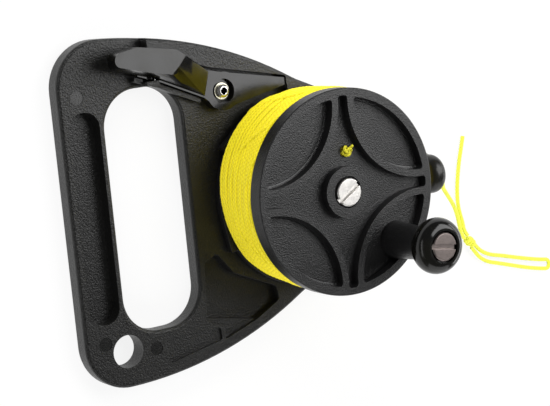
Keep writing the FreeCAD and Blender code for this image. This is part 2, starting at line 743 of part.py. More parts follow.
def make_lever():
    body = new_body("stopper_lever")
    pad(body, lever_outline(), lever_low, lever_top)
    primitive(body, "AdditiveCylinder", *lever_place, lever_low, Radius=at.lever_boss, Height=at.lever_thick)
    foot = [
        by_pivot(-45.6, 18.5), by_pivot(-36.7, 20.1), by_pivot(-19.6, 17.3), by_pivot(-5.7, 7.8),
        by_pivot(-8.2, -0.7), by_pivot(-14.5, 2.3), by_pivot(-27.8, 8.1), by_pivot(-45.4, 12.9),
    ]
    head = [
        by_pivot(-45.6, 18.5), by_pivot(-36.7, 20.1), by_pivot(-20.8, 17.5), by_pivot(-17.7, 15.0),
        by_pivot(-21.2, 11.3), by_pivot(-24.0, 9.0), by_pivot(-33.3, 10.9), by_pivot(-46.0, 14.3),
    ]
    foot_low = lever_top - 1
    tie = [
        by_pivot(-8.2, -0.7), by_pivot(-14.5, 2.3), by_pivot(-27.8, 8.1), by_pivot(-33.3, 10.3),
        by_pivot(-28.8, 13.3), by_pivot(-13.8, 9.9), by_pivot(-5.7, 7.4),
    ]
    pad(body, closed(tie), foot_low, pad_low)
    loft = body.newObject("PartDesign::AdditiveLoft", "stopper_lever_pad")
    loft.Profile = new_sketch(body, "XY_Plane", pad_low, closed(foot))
    loft.Sections = [new_sketch(body, "XY_Plane", pad_low + at.pad_high, closed(head))]
    loft.Ruled = True
    body.Tip = loft
    seat = at.lever_counterbore_deep
    hole(body, *lever_place, lever_low - 1, lever_top + 1, at.bush_round + at.run_gap)
    hole(body, *lever_place, lever_top - seat, lever_top + 1, at.lever_counterbore)
    x, y = spring_place
    room = at.spring_round + at.spring_wire / 2 + at.spring_gap
    primitive(
        body, "SubtractiveCylinder", x, spring_axis, -y - at.spring_long,
        role="XZ_Plane", Radius=room, Height=at.spring_long,
    )
    gap = at.lever_gap
    pocket(body, lug_outline(gap, at.rib_thick * 2, gap), plate_top + at.lug_high + gap, at.lug_high)


def make_lever_fittings():
    x, y = lever_place
    ring("lever_bush", at.bush_bore, at.bush_round, plate_top, bush_top, x, y)
    washer_top = bush_top + at.lever_washer_thick
    ring("lever_washer", at.bush_bore, at.lever_washer_round, bush_top, washer_top, x, y)
    head_top = washer_top + at.lever_head_high
    crown = at.lever_head * 0.6
    screw = new_body("lever_screw", x, y)
    insert_low = plate_top - at.lever_insert_long
    low = insert_low + at.shank_short
    turned(screw, [
        (0, low), (at.lever_shank, low), (at.lever_shank, washer_top),
        (at.lever_head, washer_top), (at.lever_head, head_top - at.lever_head_high / 3),
        (crown, head_top), (0, head_top),
    ])
    for turn in (0, 90):
        cross_slot(screw, head_top - at.small_slot_deep, head_top + 1, crown * 1.8, at.small_slot, turn)
    ring("lever_insert", at.lever_shank + at.press_gap, at.lever_insert_round, insert_low, plate_top, x, y)


def make_lever_spring():
    """A coil about its own Z, then laid along Y in front of its lug."""
    radius, wire, bend = float(at.spring_round), float(at.spring_wire), float(at.spring_bend)
    end_room = wire + bend
    turns = float(at.spring_turns)
    pitch = (float(at.spring_long) - 2 * end_room) / turns
    stations = helix_stations(radius, pitch, turns, 0, end_room)
    lead = math.degrees(bend / radius)
    foot, head = polar(radius, -lead), polar(radius, lead) + point(0, 0, at.spring_long)
    up = Vector(0, 0, 1)
    path = [(foot + up * wire, up)] + stations + [(head - up * wire, up)]
    edges = [Part.LineSegment(foot, foot + up * wire).toShape()]
    edges += joined_by_biarcs(path)
    edges.append(Part.LineSegment(head - up * wire, head).toShape())
    print("lever_spring least gap", round(least_gap(edges, wire), 2))
    laid = Placement(point(*spring_place, spring_axis), Rotation(Vector(1, 0, 0), -90))
    shape_node("lever_spring", tube(edges, wire / 2), laid)


# The axle: a slotted bolt and a nut that clamp a sleeve, on which the spool turns.

def slotted_outline(low, shank, head_low, head_top):
    head = at.bolt_head / 2
    bevel = at.head_bevel
    return [
        (0, low), (shank, low), (shank, head_low), (head, head_low),
        (head, head_top - bevel), (head - bevel, head_top), (0, head_top),
    ]


def make_axle():
    shank = at.bolt_shank / 2
    head_top = bolt_head_low + at.bolt_head_high
    outline = slotted_outline(at.nut_sink + at.shank_short, shank, bolt_head_low, head_top)
    slotted_screw("axle_bolt", outline, head_top, at.bolt_slot_turn)
    bore = shank + at.screw_gap
    ring("axle_sleeve", bore, at.sleeve_round, plate_top, sleeve_top)
    ring("front_washer", bore, at.bolt_head / 2, sleeve_top, bolt_head_low)
    ring(
        "rear_washer", at.sleeve_round + at.run_gap, at.rear_washer_round, plate_top,
        plate_top + at.rear_washer_thick,
    )
    nut = new_body("axle_nut")
    primitive(
        nut, "AdditivePrism", 0, 0, nut_top - at.nut_high, Polygon=6,
        Circumradius=at.nut_flats / 2 / math.cos(math.pi / 6), Height=at.nut_high,
    )
    hole(nut, 0, 0, nut_top - at.nut_high - 1, nut_top + 1, shank + at.press_gap)


# The spool: a toothed rear half with the hub, a front flange with the crank, and the wound line.

def ratchet_outline():
    teeth = 6
    span = 360 / teeth
    drop = float(at.ratchet_drop)
    edges = []
    for tooth in range(teeth):
        tip_turn = float(at.ratchet_turn) + span * tooth
        start = polar(ratchet_root, tip_turn - span + drop)
        knee = polar(ratchet_root + at.ratchet_knee_rise, tip_turn - at.ratchet_knee)
        half_way = polar(
            ratchet_root + at.ratchet_knee_rise / 2, tip_turn - (span - drop + at.ratchet_knee) / 2,
        )
        tip = polar(at.ratchet_tip, tip_turn)
        edges.append(Part.Arc(start, half_way, knee))
        edges.append(Part.LineSegment(knee, tip))
        edges.append(Part.LineSegment(tip, polar(ratchet_root, tip_turn + drop)))
    return edges


def make_spool_rear():
    body = new_body("spool_rear_flange")
    pad(body, ratchet_outline(), ratchet_low, ratchet_top)
    primitive(
        body, "AdditiveCylinder", 0, 0, ratchet_low, Radius=at.hub_round, Height=flange_low - ratchet_low,
    )
    primitive(
        body, "AdditiveCylinder", 0, 0, ratchet_low, Radius=at.spigot_round,
        Height=flange_low + at.spigot_high - ratchet_low,
    )
    hole(body, 0, 0, ratchet_low - 1, flange_top, at.sleeve_round + at.run_gap)


def crossing(reach, radius):
    """Angle from a diagonal at which a rib's circle crosses a circle about the axis."""
    place = float(at.web_arc_place)
    return math.degrees(math.acos((place ** 2 + reach ** 2 - radius ** 2) / (2 * place * reach)))


def star_outline():
    """Four arms between four inward curves, round the centre boss."""
    reach, radius = float(star_reach), float(at.web_arc_round)
    off = crossing(reach, radius)
    edges = [circle(0, 0, at.boss_round)]
    for arm in range(4):
        diagonal = float(at.star_turn) + 45 + 90 * arm
        one, two = polar(reach, diagonal - off), polar(reach, diagonal + off)
        edges.append(Part.Arc(one, polar(at.web_arc_place - radius, diagonal), two))
        edges.append(arc_about(point(0, 0), two, polar(reach, diagonal + 90 - off)))
    return edges


def lens_outline():
    reach, radius = float(lens_reach), float(at.web_arc_round - at.web_rib)
    off = crossing(reach, radius)
    diagonal = float(at.star_turn) + 45
    one, two = polar(reach, diagonal - off), polar(reach, diagonal + off)
    inner = Part.Arc(two, polar(at.web_arc_place - radius, diagonal), one)
    return [Part.Arc(one, polar(reach, diagonal), two), inner]


def make_spool_front():
    body = new_body("spool_front_flange")
    turned(body, [
        (0, flange_low), (at.flange_round, flange_low), (at.flange_round, flange_top), (0, flange_top),
    ])
    rim = float(at.flange_round)
    round_edges(body, at.flange_edge, lambda box: box.XLength > 2 * rim - 1 and box.ZLength < 0.01)
    pocket(body, star_outline(), flange_top, at.star_deep)
    four_times(body, pocket(body, lens_outline(), flange_top, at.star_deep))
    deep, beyond = float(at.star_deep), float(at.boss_round) + 1
    round_edges(
        body, at.recess_round,
        lambda box: abs(box.ZLength - deep) < 0.01 and math.hypot(box.Center.x, box.Center.y) > beyond,
    )
    primitive(
        body, "AdditiveCone", crank_x, crank_y, recess_floor - 1, Radius1=at.post_foot, Radius2=at.post_head,
        Height=at.post_high + 1,
    )
    hole(
        body, crank_x, crank_y, post_top - at.knob_thread_long - at.run_gap, post_top + 1,
        at.knob_insert_round + at.press_gap,
    )
    hole(body, 0, 0, flange_low - 1, flange_top + 1, at.sleeve_round + at.run_gap)
    hole(body, 0, 0, bolt_floor, flange_top + 1, head_mouth)
    socket = at.spigot_high + at.press_gap
    hole(body, 0, 0, flange_low - 1, flange_low + socket, at.spigot_round + at.press_gap)
    hole(body, at.anchor_x, at.anchor_y, flange_low - 1, flange_top, at.anchor_bore)


def make_knob():
    body = new_body("crank_knob", crank_x, crank_y)
    half = at.knob_thick / 2
    middle = knob_low + half
    top = knob_low + at.knob_thick
    bore = at.shoulder_round + at.run_gap
    mouth = head_mouth
    face = mouth + at.knob_lip
    low_line = Part.LineSegment(point(bore, knob_low), point(face, knob_low))
    bulge = Part.Arc(point(face, knob_low), point(at.knob_round, middle), point(face, top))
    corners = [
        point(face, top), point(mouth, top), point(mouth, knob_floor), point(bore, knob_floor),
        point(bore, knob_low),
    ]
    lines = [Part.LineSegment(one, two) for one, two in zip(corners, corners[1:])]
    sketch = new_sketch(body, "XZ_Plane", 0, [low_line, bulge] + lines)
    feature = body.newObject("PartDesign::Revolution", "crank_knob_turned")
    feature.Profile = sketch
    feature.ReferenceAxis = (sketch, ["V_Axis"])
    body.Tip = feature


def make_knob_fittings():
    head_top = knob_head_low + at.bolt_head_high
    head = at.bolt_head / 2
    thread_low = post_top - at.knob_thread_long
    bevel = at.head_bevel
    slotted_screw("knob_screw", [
        (0, thread_low), (at.knob_thread, thread_low), (at.knob_thread, post_top),
        (at.shoulder_round, post_top), (at.shoulder_round, knob_head_low), (head, knob_head_low),
        (head, head_top - bevel), (head - bevel, head_top), (0, head_top),
    ], head_top, at.knob_slot_turn, crank_x, crank_y)
    ring(
        "knob_insert", at.knob_thread + at.press_gap, at.knob_insert_round,
        post_top - at.knob_insert_long, post_top, crank_x, crank_y,
    )


def make_wound_line():
    """A plain core under one layer of turns, and the knot that anchors the line."""
    gap = at.core_gap
    ring("line_core", at.hub_round + gap, core_round, ratchet_top + gap, flange_low - gap)
    thick = float(at.line_thick)
    radius = float(core_round + gap) + thick / 2
    pitch, bend = float(at.line_pitch), float(at.line_bend)
    low = float(ratchet_top + gap + at.core_rise) + thick / 2
    turns = int((float(flange_low) - low - bend - thick) / pitch)
    last_turn = math.degrees(math.atan2(lead_start.y, lead_start.x))
    stations = helix_stations(radius, -pitch, turns, last_turn, low + pitch * turns)
    down = Vector(0, 0, -1)
    first_turn = last_turn - math.degrees(bend / radius)
    top = polar(radius, first_turn) + point(0, 0, flange_low)
    start = Vector(top.x, top.y, stations[0][0].z + bend)
    edges = [Part.LineSegment(top, start).toShape()]
    edges += joined_by_biarcs([(start, down)] + stations)
    end, way = stations[-1]
    edges.append(Part.LineSegment(end, end + way * thick).toShape())
    print("line_winding least gap", round(least_gap(edges, thick), 2))
    shape_node("line_winding", tube(edges, thick / 2))
    knot = new_body("anchor_knot", at.anchor_x, at.anchor_y)
    reach = recess_floor - flange_low + 1
    primitive(knot, "AdditiveCylinder", 0, 0, flange_low, Radius=at.line_thick / 2, Height=reach)
    rise = math.sqrt(float(at.anchor_knot_round) ** 2 - float(at.anchor_bore) ** 2)
    primitive(knot, "AdditiveSphere", 0, 0, recess_floor + rise + at.press_gap, Radius=at.anchor_knot_round)


# The line guide on the nose, and the line that is drawn through it.

def long_round(x, y, length, width):
    """An outline with two straight sides and two half-round ends, wider across than it is long."""
    radius = float(length) / 2
    half = float(width) / 2 - radius
    x, y = float(x), float(y)
    high, low = point(x, y + half), point(x, y - half)
    out, up = point(radius, 0), point(0, radius)
    return [
        Part.Arc(high + out, high + up, high - out),
        Part.LineSegment(high - out, low - out),
        Part.Arc(low - out, low - up, low + out),
        Part.LineSegment(low + out, high + out),
    ]


def eye_outline():
    """Half the section of the line guide's eye, from its hole's middle line out to its rounded rim."""
    high, low = guide_top, guide_top - at.guide_round
    slant = float(at.guide_round) * math.sqrt(0.5)
    edges, faces, turns = [], [], []
    for side in (-1, 1):
        face = at.guide_lean_x + at.guide_eye_long / 2 * side
        turn = face - at.guide_round * side
        over = point(turn, low) + point(slant * side, slant)
        edges.append(Part.LineSegment(point(face, guide_hole), point(face, low)))
        edges.append(Part.Arc(point(face, low), over, point(turn, high)))
        faces.append(point(face, guide_hole))
        turns.append(point(turn, high))
    return edges + [Part.LineSegment(*turns), Part.LineSegment(*faces)]


def about_hole(body, kind, name, outline):
    """Adds or takes away a form turned about the middle line of the guide's hole."""
    sketch = new_sketch(body, "XZ_Plane", 0, outline)
    bind(sketch, "AttachmentOffset.Base.z", -at.guide_lean_y)
    middle = [point(side * at.guide_foot_long, guide_hole) for side in (-1, 1)]
    sketch.addGeometry(Part.LineSegment(middle[0], middle[1]), True)
    feature = body.newObject(kind, name)
    feature.Profile = sketch
    feature.ReferenceAxis = (sketch, ["Axis0"])
    body.Tip = feature


def make_guide():
    body = new_body("line_guide", guide_place, 0)
    loft = body.newObject("PartDesign::AdditiveLoft", "line_guide_neck")
    foot = long_round(0, 0, at.guide_foot_long, at.guide_foot_wide)
    loft.Profile = new_sketch(body, "XY_Plane", plate_top, foot)
    inset = at.guide_neck_inset * 2
    neck = long_round(at.guide_lean_x, at.guide_lean_y, at.guide_eye_long - inset, at.guide_eye * 2 - inset)
    loft.Sections = [new_sketch(body, "XY_Plane", guide_hole, neck)]
    loft.Ruled = True
    body.Tip = loft
    about_hole(body, "PartDesign::Revolution", "line_guide_eye", eye_outline())
    half = at.guide_foot_long / 2 + 1
    inner, outer = at.guide_lean_x - at.guide_throat / 2, at.guide_lean_x + at.guide_throat / 2
    about_hole(body, "PartDesign::Groove", "line_guide_hole", closed([
        point(x, guide_hole + y)
        for x, y in (
            (-half, at.guide_flare), (inner, at.guide_bore), (outer, at.guide_bore), (half, at.guide_flare),
            (half, 0), (-half, 0),
        )
    ]))
    screw_top = plate_top + at.guide_screw_long
    hole(body, 0, 0, plate_top - 1, screw_top + at.shank_short, at.guide_screw_round + at.press_gap)


def make_guide_screw():
    seat = guide_screw_top
    low = at.guide_screw_sink
    screw = new_body("guide_screw", guide_place, 0)
    turned(screw, [
        (0, low), (at.guide_screw_head, low), (at.guide_screw_head, seat), (at.guide_screw_round, seat),
        (at.guide_screw_round, plate_top + at.guide_screw_long), (0, plate_top + at.guide_screw_long),
    ])
    cross_slot(screw, low - 1, low + at.small_slot_deep, at.guide_screw_head * 2 + 1, at.small_slot, 0)


def lead_points():
    """From just over the winding, in line with the guide's hole, and through it."""
    hole_y = float(at.guide_lean_y)
    middle = guide_place + at.guide_lean_x
    mouth = point(middle - 4.6, hole_y, guide_hole)
    outlet = point(middle + 4.0, hole_y, guide_hole)
    reach = float(core_round + at.core_gap + at.line_thick * 1.5 + at.lead_gap)
    flat = Vector(mouth.x, mouth.y, 0)
    lean = math.degrees(math.acos(reach / flat.Length))
    start = turned_by(unit(flat), -lean) * reach + point(0, 0, ratchet_top + at.lead_lift)
    return start, mouth, outlet


lead_start, guide_mouth, guide_outlet = lead_points()


def make_free_line():
    line_piece("line_lead", [lead_start, guide_mouth, guide_outlet])
    middle, way = point(83.0, -36.2, 2.1), unit(point(0.602, -0.798))
    across = turned_by(way, 90) * float(at.strand_half)
    half = float(at.knot_long) / 2
    arrive, leave = middle - way * half, middle + way * half
    ease = way * 2.6
    line_piece("line_free", [
        guide_outlet, guide_outlet + point(3.6, 0), point(60.3, -8.8, 16.6), point(65.2, -12.7, 12.5),
        point(70.7, -17.2, 8.4), point(74.4, -21.1, 5.6), point(76.8, -25.0, 3.7), point(78.2, -28.9, 2.6),
        arrive - across - ease, arrive - across,
    ])
    line_piece("line_tag", [
        arrive + across, arrive + across - ease, point(81.0, -28.0, 1.2), point(80.1, -24.0, 0.9),
        point(79.5, -19.6, 0.9), point(79.8, -14.2, 0.9), point(80.8, -8.2, 0.9), point(82.1, -2.6, 0.9),
        point(83.6, 2.2, 0.9), point(84.8, 6.6, 0.9),
    ])
    line_piece("line_loop", [
        leave + across, leave + across + ease, point(90.2, -42.0, 1.0), point(94.2, -43.9, 0.9),
        point(99.8, -45.2, 0.9), point(107.2, -47.3, 0.9), point(114.8, -49.3, 0.9),
        point(120.9, -50.7, 0.9), point(125.0, -51.3, 0.9), point(124.7, -55.2, 0.9),
        point(120.2, -54.4, 0.9), point(113.4, -52.8, 0.9), point(105.4, -50.4, 0.9),
        point(98.4, -48.2, 0.9), point(92.6, -46.6, 0.9), point(88.4, -44.0, 1.0),
        leave - across + ease, leave - across,
    ])
    knot = new_body("line_knot", middle.x, middle.y)
    knot.Placement = Placement(Vector(knot.Placement.Base), Rotation(Vector(0, 0, 1), way))
    bind(knot, "Placement.Base.z", middle.z)
    turned(knot, [
        (0, -half), (at.knot_end, -half), (at.knot_round, -half / 2), (at.knot_round, half / 2),
        (at.knot_end, half), (0, half),
    ])


make_frame()
make_lever()
make_lever_fittings()
make_lever_spring()
make_axle()
make_spool_rear()
make_spool_front()
make_knob()
make_knob_fittings()
make_wound_line()
make_guide()
make_guide_screw()
make_free_line()
doc.recompute()

for item in doc.Objects:
    if "Invalid" in item.State or "Error" in item.State:
        raise RuntimeError(f"{item.Name} failed: {item.State}")
for node in nodes:
    if node.Shape.isNull() or not node.Shape.isValid():
        raise RuntimeError(f"{node.Name} has no valid shape")
    node.Label = node.Name

os.makedirs("parts", exist_ok=True)
for node in nodes:
    node.Shape.exportStep(f"parts/{node.Label}.step")
    print(f"{node.Label:20} solids {len(node.Shape.Solids)} volume {node.Shape.Volume:9.1f}")
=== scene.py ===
import json
import math

import bmesh
import bpy
from mathutils import Matrix, Vector


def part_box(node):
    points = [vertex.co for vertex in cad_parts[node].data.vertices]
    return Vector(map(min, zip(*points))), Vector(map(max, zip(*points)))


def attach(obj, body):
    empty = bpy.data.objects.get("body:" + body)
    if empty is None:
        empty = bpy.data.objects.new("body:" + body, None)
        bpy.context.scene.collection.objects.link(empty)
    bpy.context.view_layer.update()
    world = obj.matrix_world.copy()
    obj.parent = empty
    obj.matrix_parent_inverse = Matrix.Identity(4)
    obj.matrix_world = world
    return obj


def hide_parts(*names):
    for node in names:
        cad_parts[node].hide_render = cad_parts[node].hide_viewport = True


# A hand-held line reel that lies on its back. Sizes are in millimetres, places are measured from the spool's
# axis and the plate's back, and directions are in degrees round that axis.

MM = 0.001

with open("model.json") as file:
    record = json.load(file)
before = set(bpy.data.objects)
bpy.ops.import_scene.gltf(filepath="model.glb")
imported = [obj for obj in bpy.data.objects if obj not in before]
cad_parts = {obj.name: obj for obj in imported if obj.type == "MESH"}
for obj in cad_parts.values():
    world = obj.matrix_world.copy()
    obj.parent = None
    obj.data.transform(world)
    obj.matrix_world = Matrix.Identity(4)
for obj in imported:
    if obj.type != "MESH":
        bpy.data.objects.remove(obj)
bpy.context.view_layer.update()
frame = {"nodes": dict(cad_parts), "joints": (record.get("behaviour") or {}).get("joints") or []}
nodes = frame["nodes"]
spool_axis = Vector(next(joint["pos_m"] for joint in frame["joints"] if joint["name"] == "spool_spin"))


def spot(x, y, z):
    """A place in millimetres from the spool's axis, in the frame's metres."""
    return Vector((spool_axis.x + x * MM, spool_axis.y + y * MM, z * MM))


def round_spot(reach, degrees, z):
    """A place at a distance and an angle from the spool's axis."""
    turn = math.radians(degrees)
    return spot(reach * math.cos(turn), reach * math.sin(turn), z)


def eased(value, low, high):
    """A smooth rise from 0 to 1 between two values."""
    share = min(max((value - low) / (high - low), 0.0), 1.0)
    return share * share * (3 - 2 * share)


def times(colour, share):
    return tuple(share * part for part in colour)


# Node trees: their sockets can be used in expressions, where Python's operators add Math nodes.

class Amount:
    """A socket, of a shader or of a shape, whose value can be used in an expression."""

    def __init__(self, owner, socket):
        self.owner = owner
        self.socket = socket

    def maths(self, operation, *values):
        node = self.owner.node("ShaderNodeMath", {"operation": operation}, dict(enumerate(values)))
        return Amount(self.owner, node.outputs[0])

    def __add__(self, other):
        return self.maths("ADD", self, other)

    def __radd__(self, other):
        return self.maths("ADD", other, self)

    def __sub__(self, other):
        return self.maths("SUBTRACT", self, other)

    def __rsub__(self, other):
        return self.maths("SUBTRACT", other, self)

    def __mul__(self, other):
        return self.maths("MULTIPLY", self, other)

    def __truediv__(self, other):
        return self.maths("DIVIDE", self, other)

    def __pow__(self, other):
        return self.maths("POWER", self, other)

    def __abs__(self):
        return self.maths("ABSOLUTE", self)

    def sine(self):
        return self.maths("SINE", self)

    def cosine(self):
        return self.maths("COSINE", self)

    def floor(self):
        return self.maths("FLOOR", self)

    def fraction(self):
        return self.maths("FRACT", self)

    def clipped(self):
        return self.maths("MAXIMUM", self.maths("MINIMUM", self, 1.0), 0.0)

    def rise(self, low, high):
        """A straight rise from 0 to 1 between two values."""
        return ((self - low) / (high - low)).clipped()

    def blend(self, first, second):
        """The first value where this is 0, and the second where it is 1."""
        return first + (second - first) * self


class Wiring:
    """A node tree that is filled by name."""

    def __init__(self, tree):
        self.tree = tree

    def fill(self, socket, value):
        if isinstance(value, Amount):
            self.tree.links.new(value.socket, socket)
        elif isinstance(value, bpy.types.NodeSocket):
            self.tree.links.new(value, socket)
        else:
            socket.default_value = value

    def node(self, kind, settings=None, inputs=None):
        """Adds a node, sets what it is first, then its sockets."""
        node = self.tree.nodes.new(kind)
        for name, value in (settings or {}).items():
            setattr(node, name, value)
        for name, value in (inputs or {}).items():
            self.fill(node.inputs[name], value)
        return node


LINE_THICK = 1.6
STRANDS = 4.0  # of the plait, each way round
STITCH = 1.5  # of a strand, along the line


def plait_height(turn_cos, turn_sin, along, strands, stitch):
    """How high a plaited line's surface stands, from 0 in its creases to 1 on top of a strand.

    Two families of strands wind round the line, one each way, and lie over each other by turns."""
    angle = turn_sin.maths("ARCTAN2", turn_sin, turn_cos) * (1 / math.tau)
    left = angle * strands + along / stitch
    right = angle * strands - along / stitch
    odd = ((left.floor() + right.floor()) * 0.5).fraction() * 2.0
    across_left = (left.fraction() * math.pi).sine()
    across_right = (right.fraction() * math.pi).sine()
    over_left = across_left ** 0.5 * (0.55 + across_right * 0.45)
    over_right = across_right ** 0.5 * (0.55 + across_left * 0.45)
    return odd.blend(over_left, over_right)


# Finishes: each has one Principled shader, and takes its marks from the object's own coordinates.

class Finish(Wiring):
    """A material with one Principled shader."""

    def __init__(self, name, base, roughness, metallic=0.0, coat=0.0, coat_roughness=0.1, specular=0.5):
        self.material = bpy.data.materials.new(name)
        self.material.use_nodes = True
        super().__init__(self.material.node_tree)
        self.shader = next(n for n in self.tree.nodes if n.type == "BSDF_PRINCIPLED")
        self.set("Base Color", (*base, 1.0))
        self.set("Roughness", roughness)
        self.set("Metallic", metallic)
        self.set("Coat Weight", coat)
        self.set("Coat Roughness", coat_roughness)
        self.set("Specular IOR Level", specular)
        self.object_place = self.node("ShaderNodeTexCoord").outputs["Object"]

    def set(self, name, value):
        """Gives one of the shader's sockets a value or a link."""
        self.fill(self.shader.inputs[name], value)

    def noise(self, size_mm, detail=3.0, roughness=0.5, stretch=(1.0, 1.0, 1.0), turn=0.0):
        """Noise on the object's own coordinates, with features of about a size."""
        place = self.node("ShaderNodeMapping", {}, {
            "Vector": self.object_place, "Rotation": (0.0, 0.0, turn), "Scale": stretch,
        })
        node = self.node("ShaderNodeTexNoise", {}, {
            "Vector": place.outputs[0], "Scale": 1.0 / (size_mm * MM), "Detail": detail,
            "Roughness": roughness,
        })
        return Amount(self, node.outputs[0])

    def cells(self, size_mm):
        """Distance to the nearest of scattered points, in cells of about a size."""
        node = self.node("ShaderNodeTexVoronoi", {}, {
            "Vector": self.object_place, "Scale": 1.0 / (size_mm * MM),
        })
        return Amount(self, node.outputs["Distance"])

    def attribute(self, name):
        return Amount(self, self.node("ShaderNodeAttribute", {"attribute_name": name}).outputs["Fac"])

    def height(self):
        """The object's own height, in metres."""
        return Amount(self, self.node("ShaderNodeSeparateXYZ", {}, {0: self.object_place}).outputs[2])

    def tint(self, dark, light, share):
        """A colour between two, by a share from 0 to 1."""
        node = self.node("ShaderNodeMix", {"data_type": "RGBA"}, {
            0: share, 6: dark if not isinstance(dark, tuple) else (*dark, 1.0), 7: (*light, 1.0),
        })
        return node.outputs[2]

    def bump(self, height, depth_mm, strength=1.0):
        node = self.node("ShaderNodeBump", {}, {
            "Height": height, "Distance": depth_mm * MM, "Strength": strength,
        })
        self.set("Normal", node.outputs[0])


def moulded_plastic(name, base, roughness, grain_mm, grain_depth_mm):
    """Matte moulded plastic with a fine spark-eroded grain, and a little greasy in places."""
    finish = Finish(name, base, roughness)
    grain = finish.noise(grain_mm, detail=1.5, roughness=0.55)
    pits = finish.cells(grain_mm * 1.4)
    cloud = finish.noise(11.0, detail=4.0, roughness=0.6)
    rough = 1.0 - finish.attribute("polished") * 0.85
    pale = (grain * 2.4 - 0.85 + cloud * 0.2).clipped()
    finish.set("Base Color", finish.tint(base, times(base, 3.0), pale))
    finish.set("Roughness", (roughness + (grain - 0.5) * 0.3) * (rough * 0.4 + 0.6) + (cloud - 0.5) * 0.16)
    finish.bump((grain + pits * 0.4) * rough, grain_depth_mm)
    return finish.material


def glossy_plastic(name, base, roughness):
    """Polished moulded plastic with faint hazing from handling."""
    finish = Finish(name, base, roughness, coat=0.15, coat_roughness=0.12, specular=0.36)
    haze = finish.noise(7.0, detail=4.0, roughness=0.6)
    fine = finish.noise(0.8, detail=2.0)
    finish.set("Roughness", (roughness + (haze - 0.5) * 0.3 + (fine - 0.5) * 0.06).clipped())
    warm = tuple(part * share for part, share in zip(base, (1.9, 1.8, 1.1)))
    finish.set("Base Color", finish.tint(base, warm, haze.rise(0.4, 0.7)))
    finish.bump(fine, 0.01)
    return finish.material


def machined_steel(name, base, roughness, turn):
    """Metal with fine lines that run one way, a little stained."""
    finish = Finish(name, base, roughness, metallic=1.0)
    lines = finish.noise(0.35, detail=3.0, roughness=0.6, stretch=(0.06, 1.0, 1.0), turn=-math.radians(turn))
    stain = finish.noise(2.5, detail=4.0, roughness=0.65)
    clean = (stain * 1.5 + lines * 0.6 - 0.35).clipped()
    finish.set("Base Color", finish.tint(times(base, 0.55), base, clean))
    finish.set("Roughness", (roughness + (lines - 0.5) * 0.25).clipped())
    finish.bump(lines, 0.012)
    return finish.material


def plain_metal(name, base, roughness):
    """Metal that is a little stained."""
    finish = Finish(name, base, roughness, metallic=1.0)
    stain = finish.noise(1.5)
    finish.set("Roughness", (roughness + (stain - 0.5) * 0.2).clipped())
    finish.set("Base Color", finish.tint(times(base, 0.7), base, stain))
    return finish.material


def braided_line(name, base, painted_shade, crease_shade=0.0):
    """Bright braided line: its plaits stand in the mesh, and their fibres and the painted shade in their
    creases are in the finish.

    On the spool the sides of a turn, towards the next turns, are darkened further with painted shade."""
    finish = Finish(name, base, roughness=0.6, specular=0.2)
    stored = [finish.attribute(label) for label in ("turn_cos", "turn_sin", "along")]
    height = plait_height(*stored, STRANDS, STITCH * MM)
    fibre = finish.noise(0.15, detail=2.0, roughness=0.6)
    cloud = finish.noise(9.0, detail=2.0)
    # Painted shade: the plaits' creases lean towards the shade colour and the strand tops towards the base,
    # with real fibre and random tone mixed in.
    light = (height.rise(0.1, 0.75) * 0.8 + fibre * 0.3 + 0.05 + (cloud - 0.5) * 0.4).clipped()
    colour = finish.tint(painted_shade, base, light)
    if crease_shade:
        # Painted shade on the sides of a turn that face the next turns, patchy by the cloud.
        side = (1.0 - finish.attribute("facing").rise(0.3, 0.8)) * cloud.rise(0.3, 0.62) * crease_shade
        colour = finish.tint(colour, times(painted_shade, 0.3), side)
    finish.set("Base Color", colour)
    finish.set("Sheen Weight", 0.1)
    finish.bump(height + fibre * 0.15, 0.12, strength=0.8)
    return finish.material


def packed_rows_finish(name, base, painted_shade, pitch_mm):
    """The line below the outer turns: rows of plaits that go round the spool, with painted shade between the
    rows.
    """
    finish = Finish(name, base, roughness=0.7, specular=0.15)
    rows = abs((finish.height() * (math.pi / (pitch_mm * MM))).sine())
    fibre = finish.noise(0.4, detail=3.0, roughness=0.6)
    # Painted shade between the rows, with real fibre tone mixed in.
    finish.set("Base Color", finish.tint(painted_shade, base, (rows * 0.6 + fibre * 0.5).clipped()))
    finish.bump(rows + fibre * 0.4, 0.5)
    return finish.material


grained_black = moulded_plastic(
    "frame_grained_black", (0.003, 0.003, 0.0028), roughness=0.4, grain_mm=0.55, grain_depth_mm=0.16)
spool_black = moulded_plastic(
    "spool_grained_black", (0.003, 0.003, 0.0031), roughness=0.36, grain_mm=0.42, grain_depth_mm=0.17)
polished_black = glossy_plastic("polished_black", (0.002, 0.002, 0.0018), roughness=0.17)
satin_black = glossy_plastic("guide_satin_black", (0.004, 0.004, 0.0038), roughness=0.34)
pale_steel = machined_steel("bolt_steel", (0.78, 0.76, 0.73), roughness=0.34, turn=32)
brown_steel = machined_steel("knob_screw_steel", (0.3, 0.255, 0.24), roughness=0.34, turn=-9.3)
small_steel = plain_metal("small_screw_steel", (0.74, 0.73, 0.7), roughness=0.22)
stained_steel = plain_metal("lever_washer_steel", (0.6, 0.58, 0.47), roughness=0.3)
warm_brass = plain_metal("insert_brass", (0.72, 0.5, 0.2), roughness=0.3)
white_slip = moulded_plastic(
    "washer_white", (0.72, 0.71, 0.68), roughness=0.45, grain_mm=0.4, grain_depth_mm=0.01)
wound_yellow = braided_line("line_yellow", (0.93, 0.8, 0.022), painted_shade=(0.62, 0.46, 0.004), crease_shade=0.3)
# The packed line is the same line as the turns; its darker base is painted shade for the gaps it shows
# through.
packed_shaded_yellow = packed_rows_finish(
    "line_packed_yellow", (0.75, 0.6, 0.006), painted_shade=(0.42, 0.3, 0.002), pitch_mm=1.5)
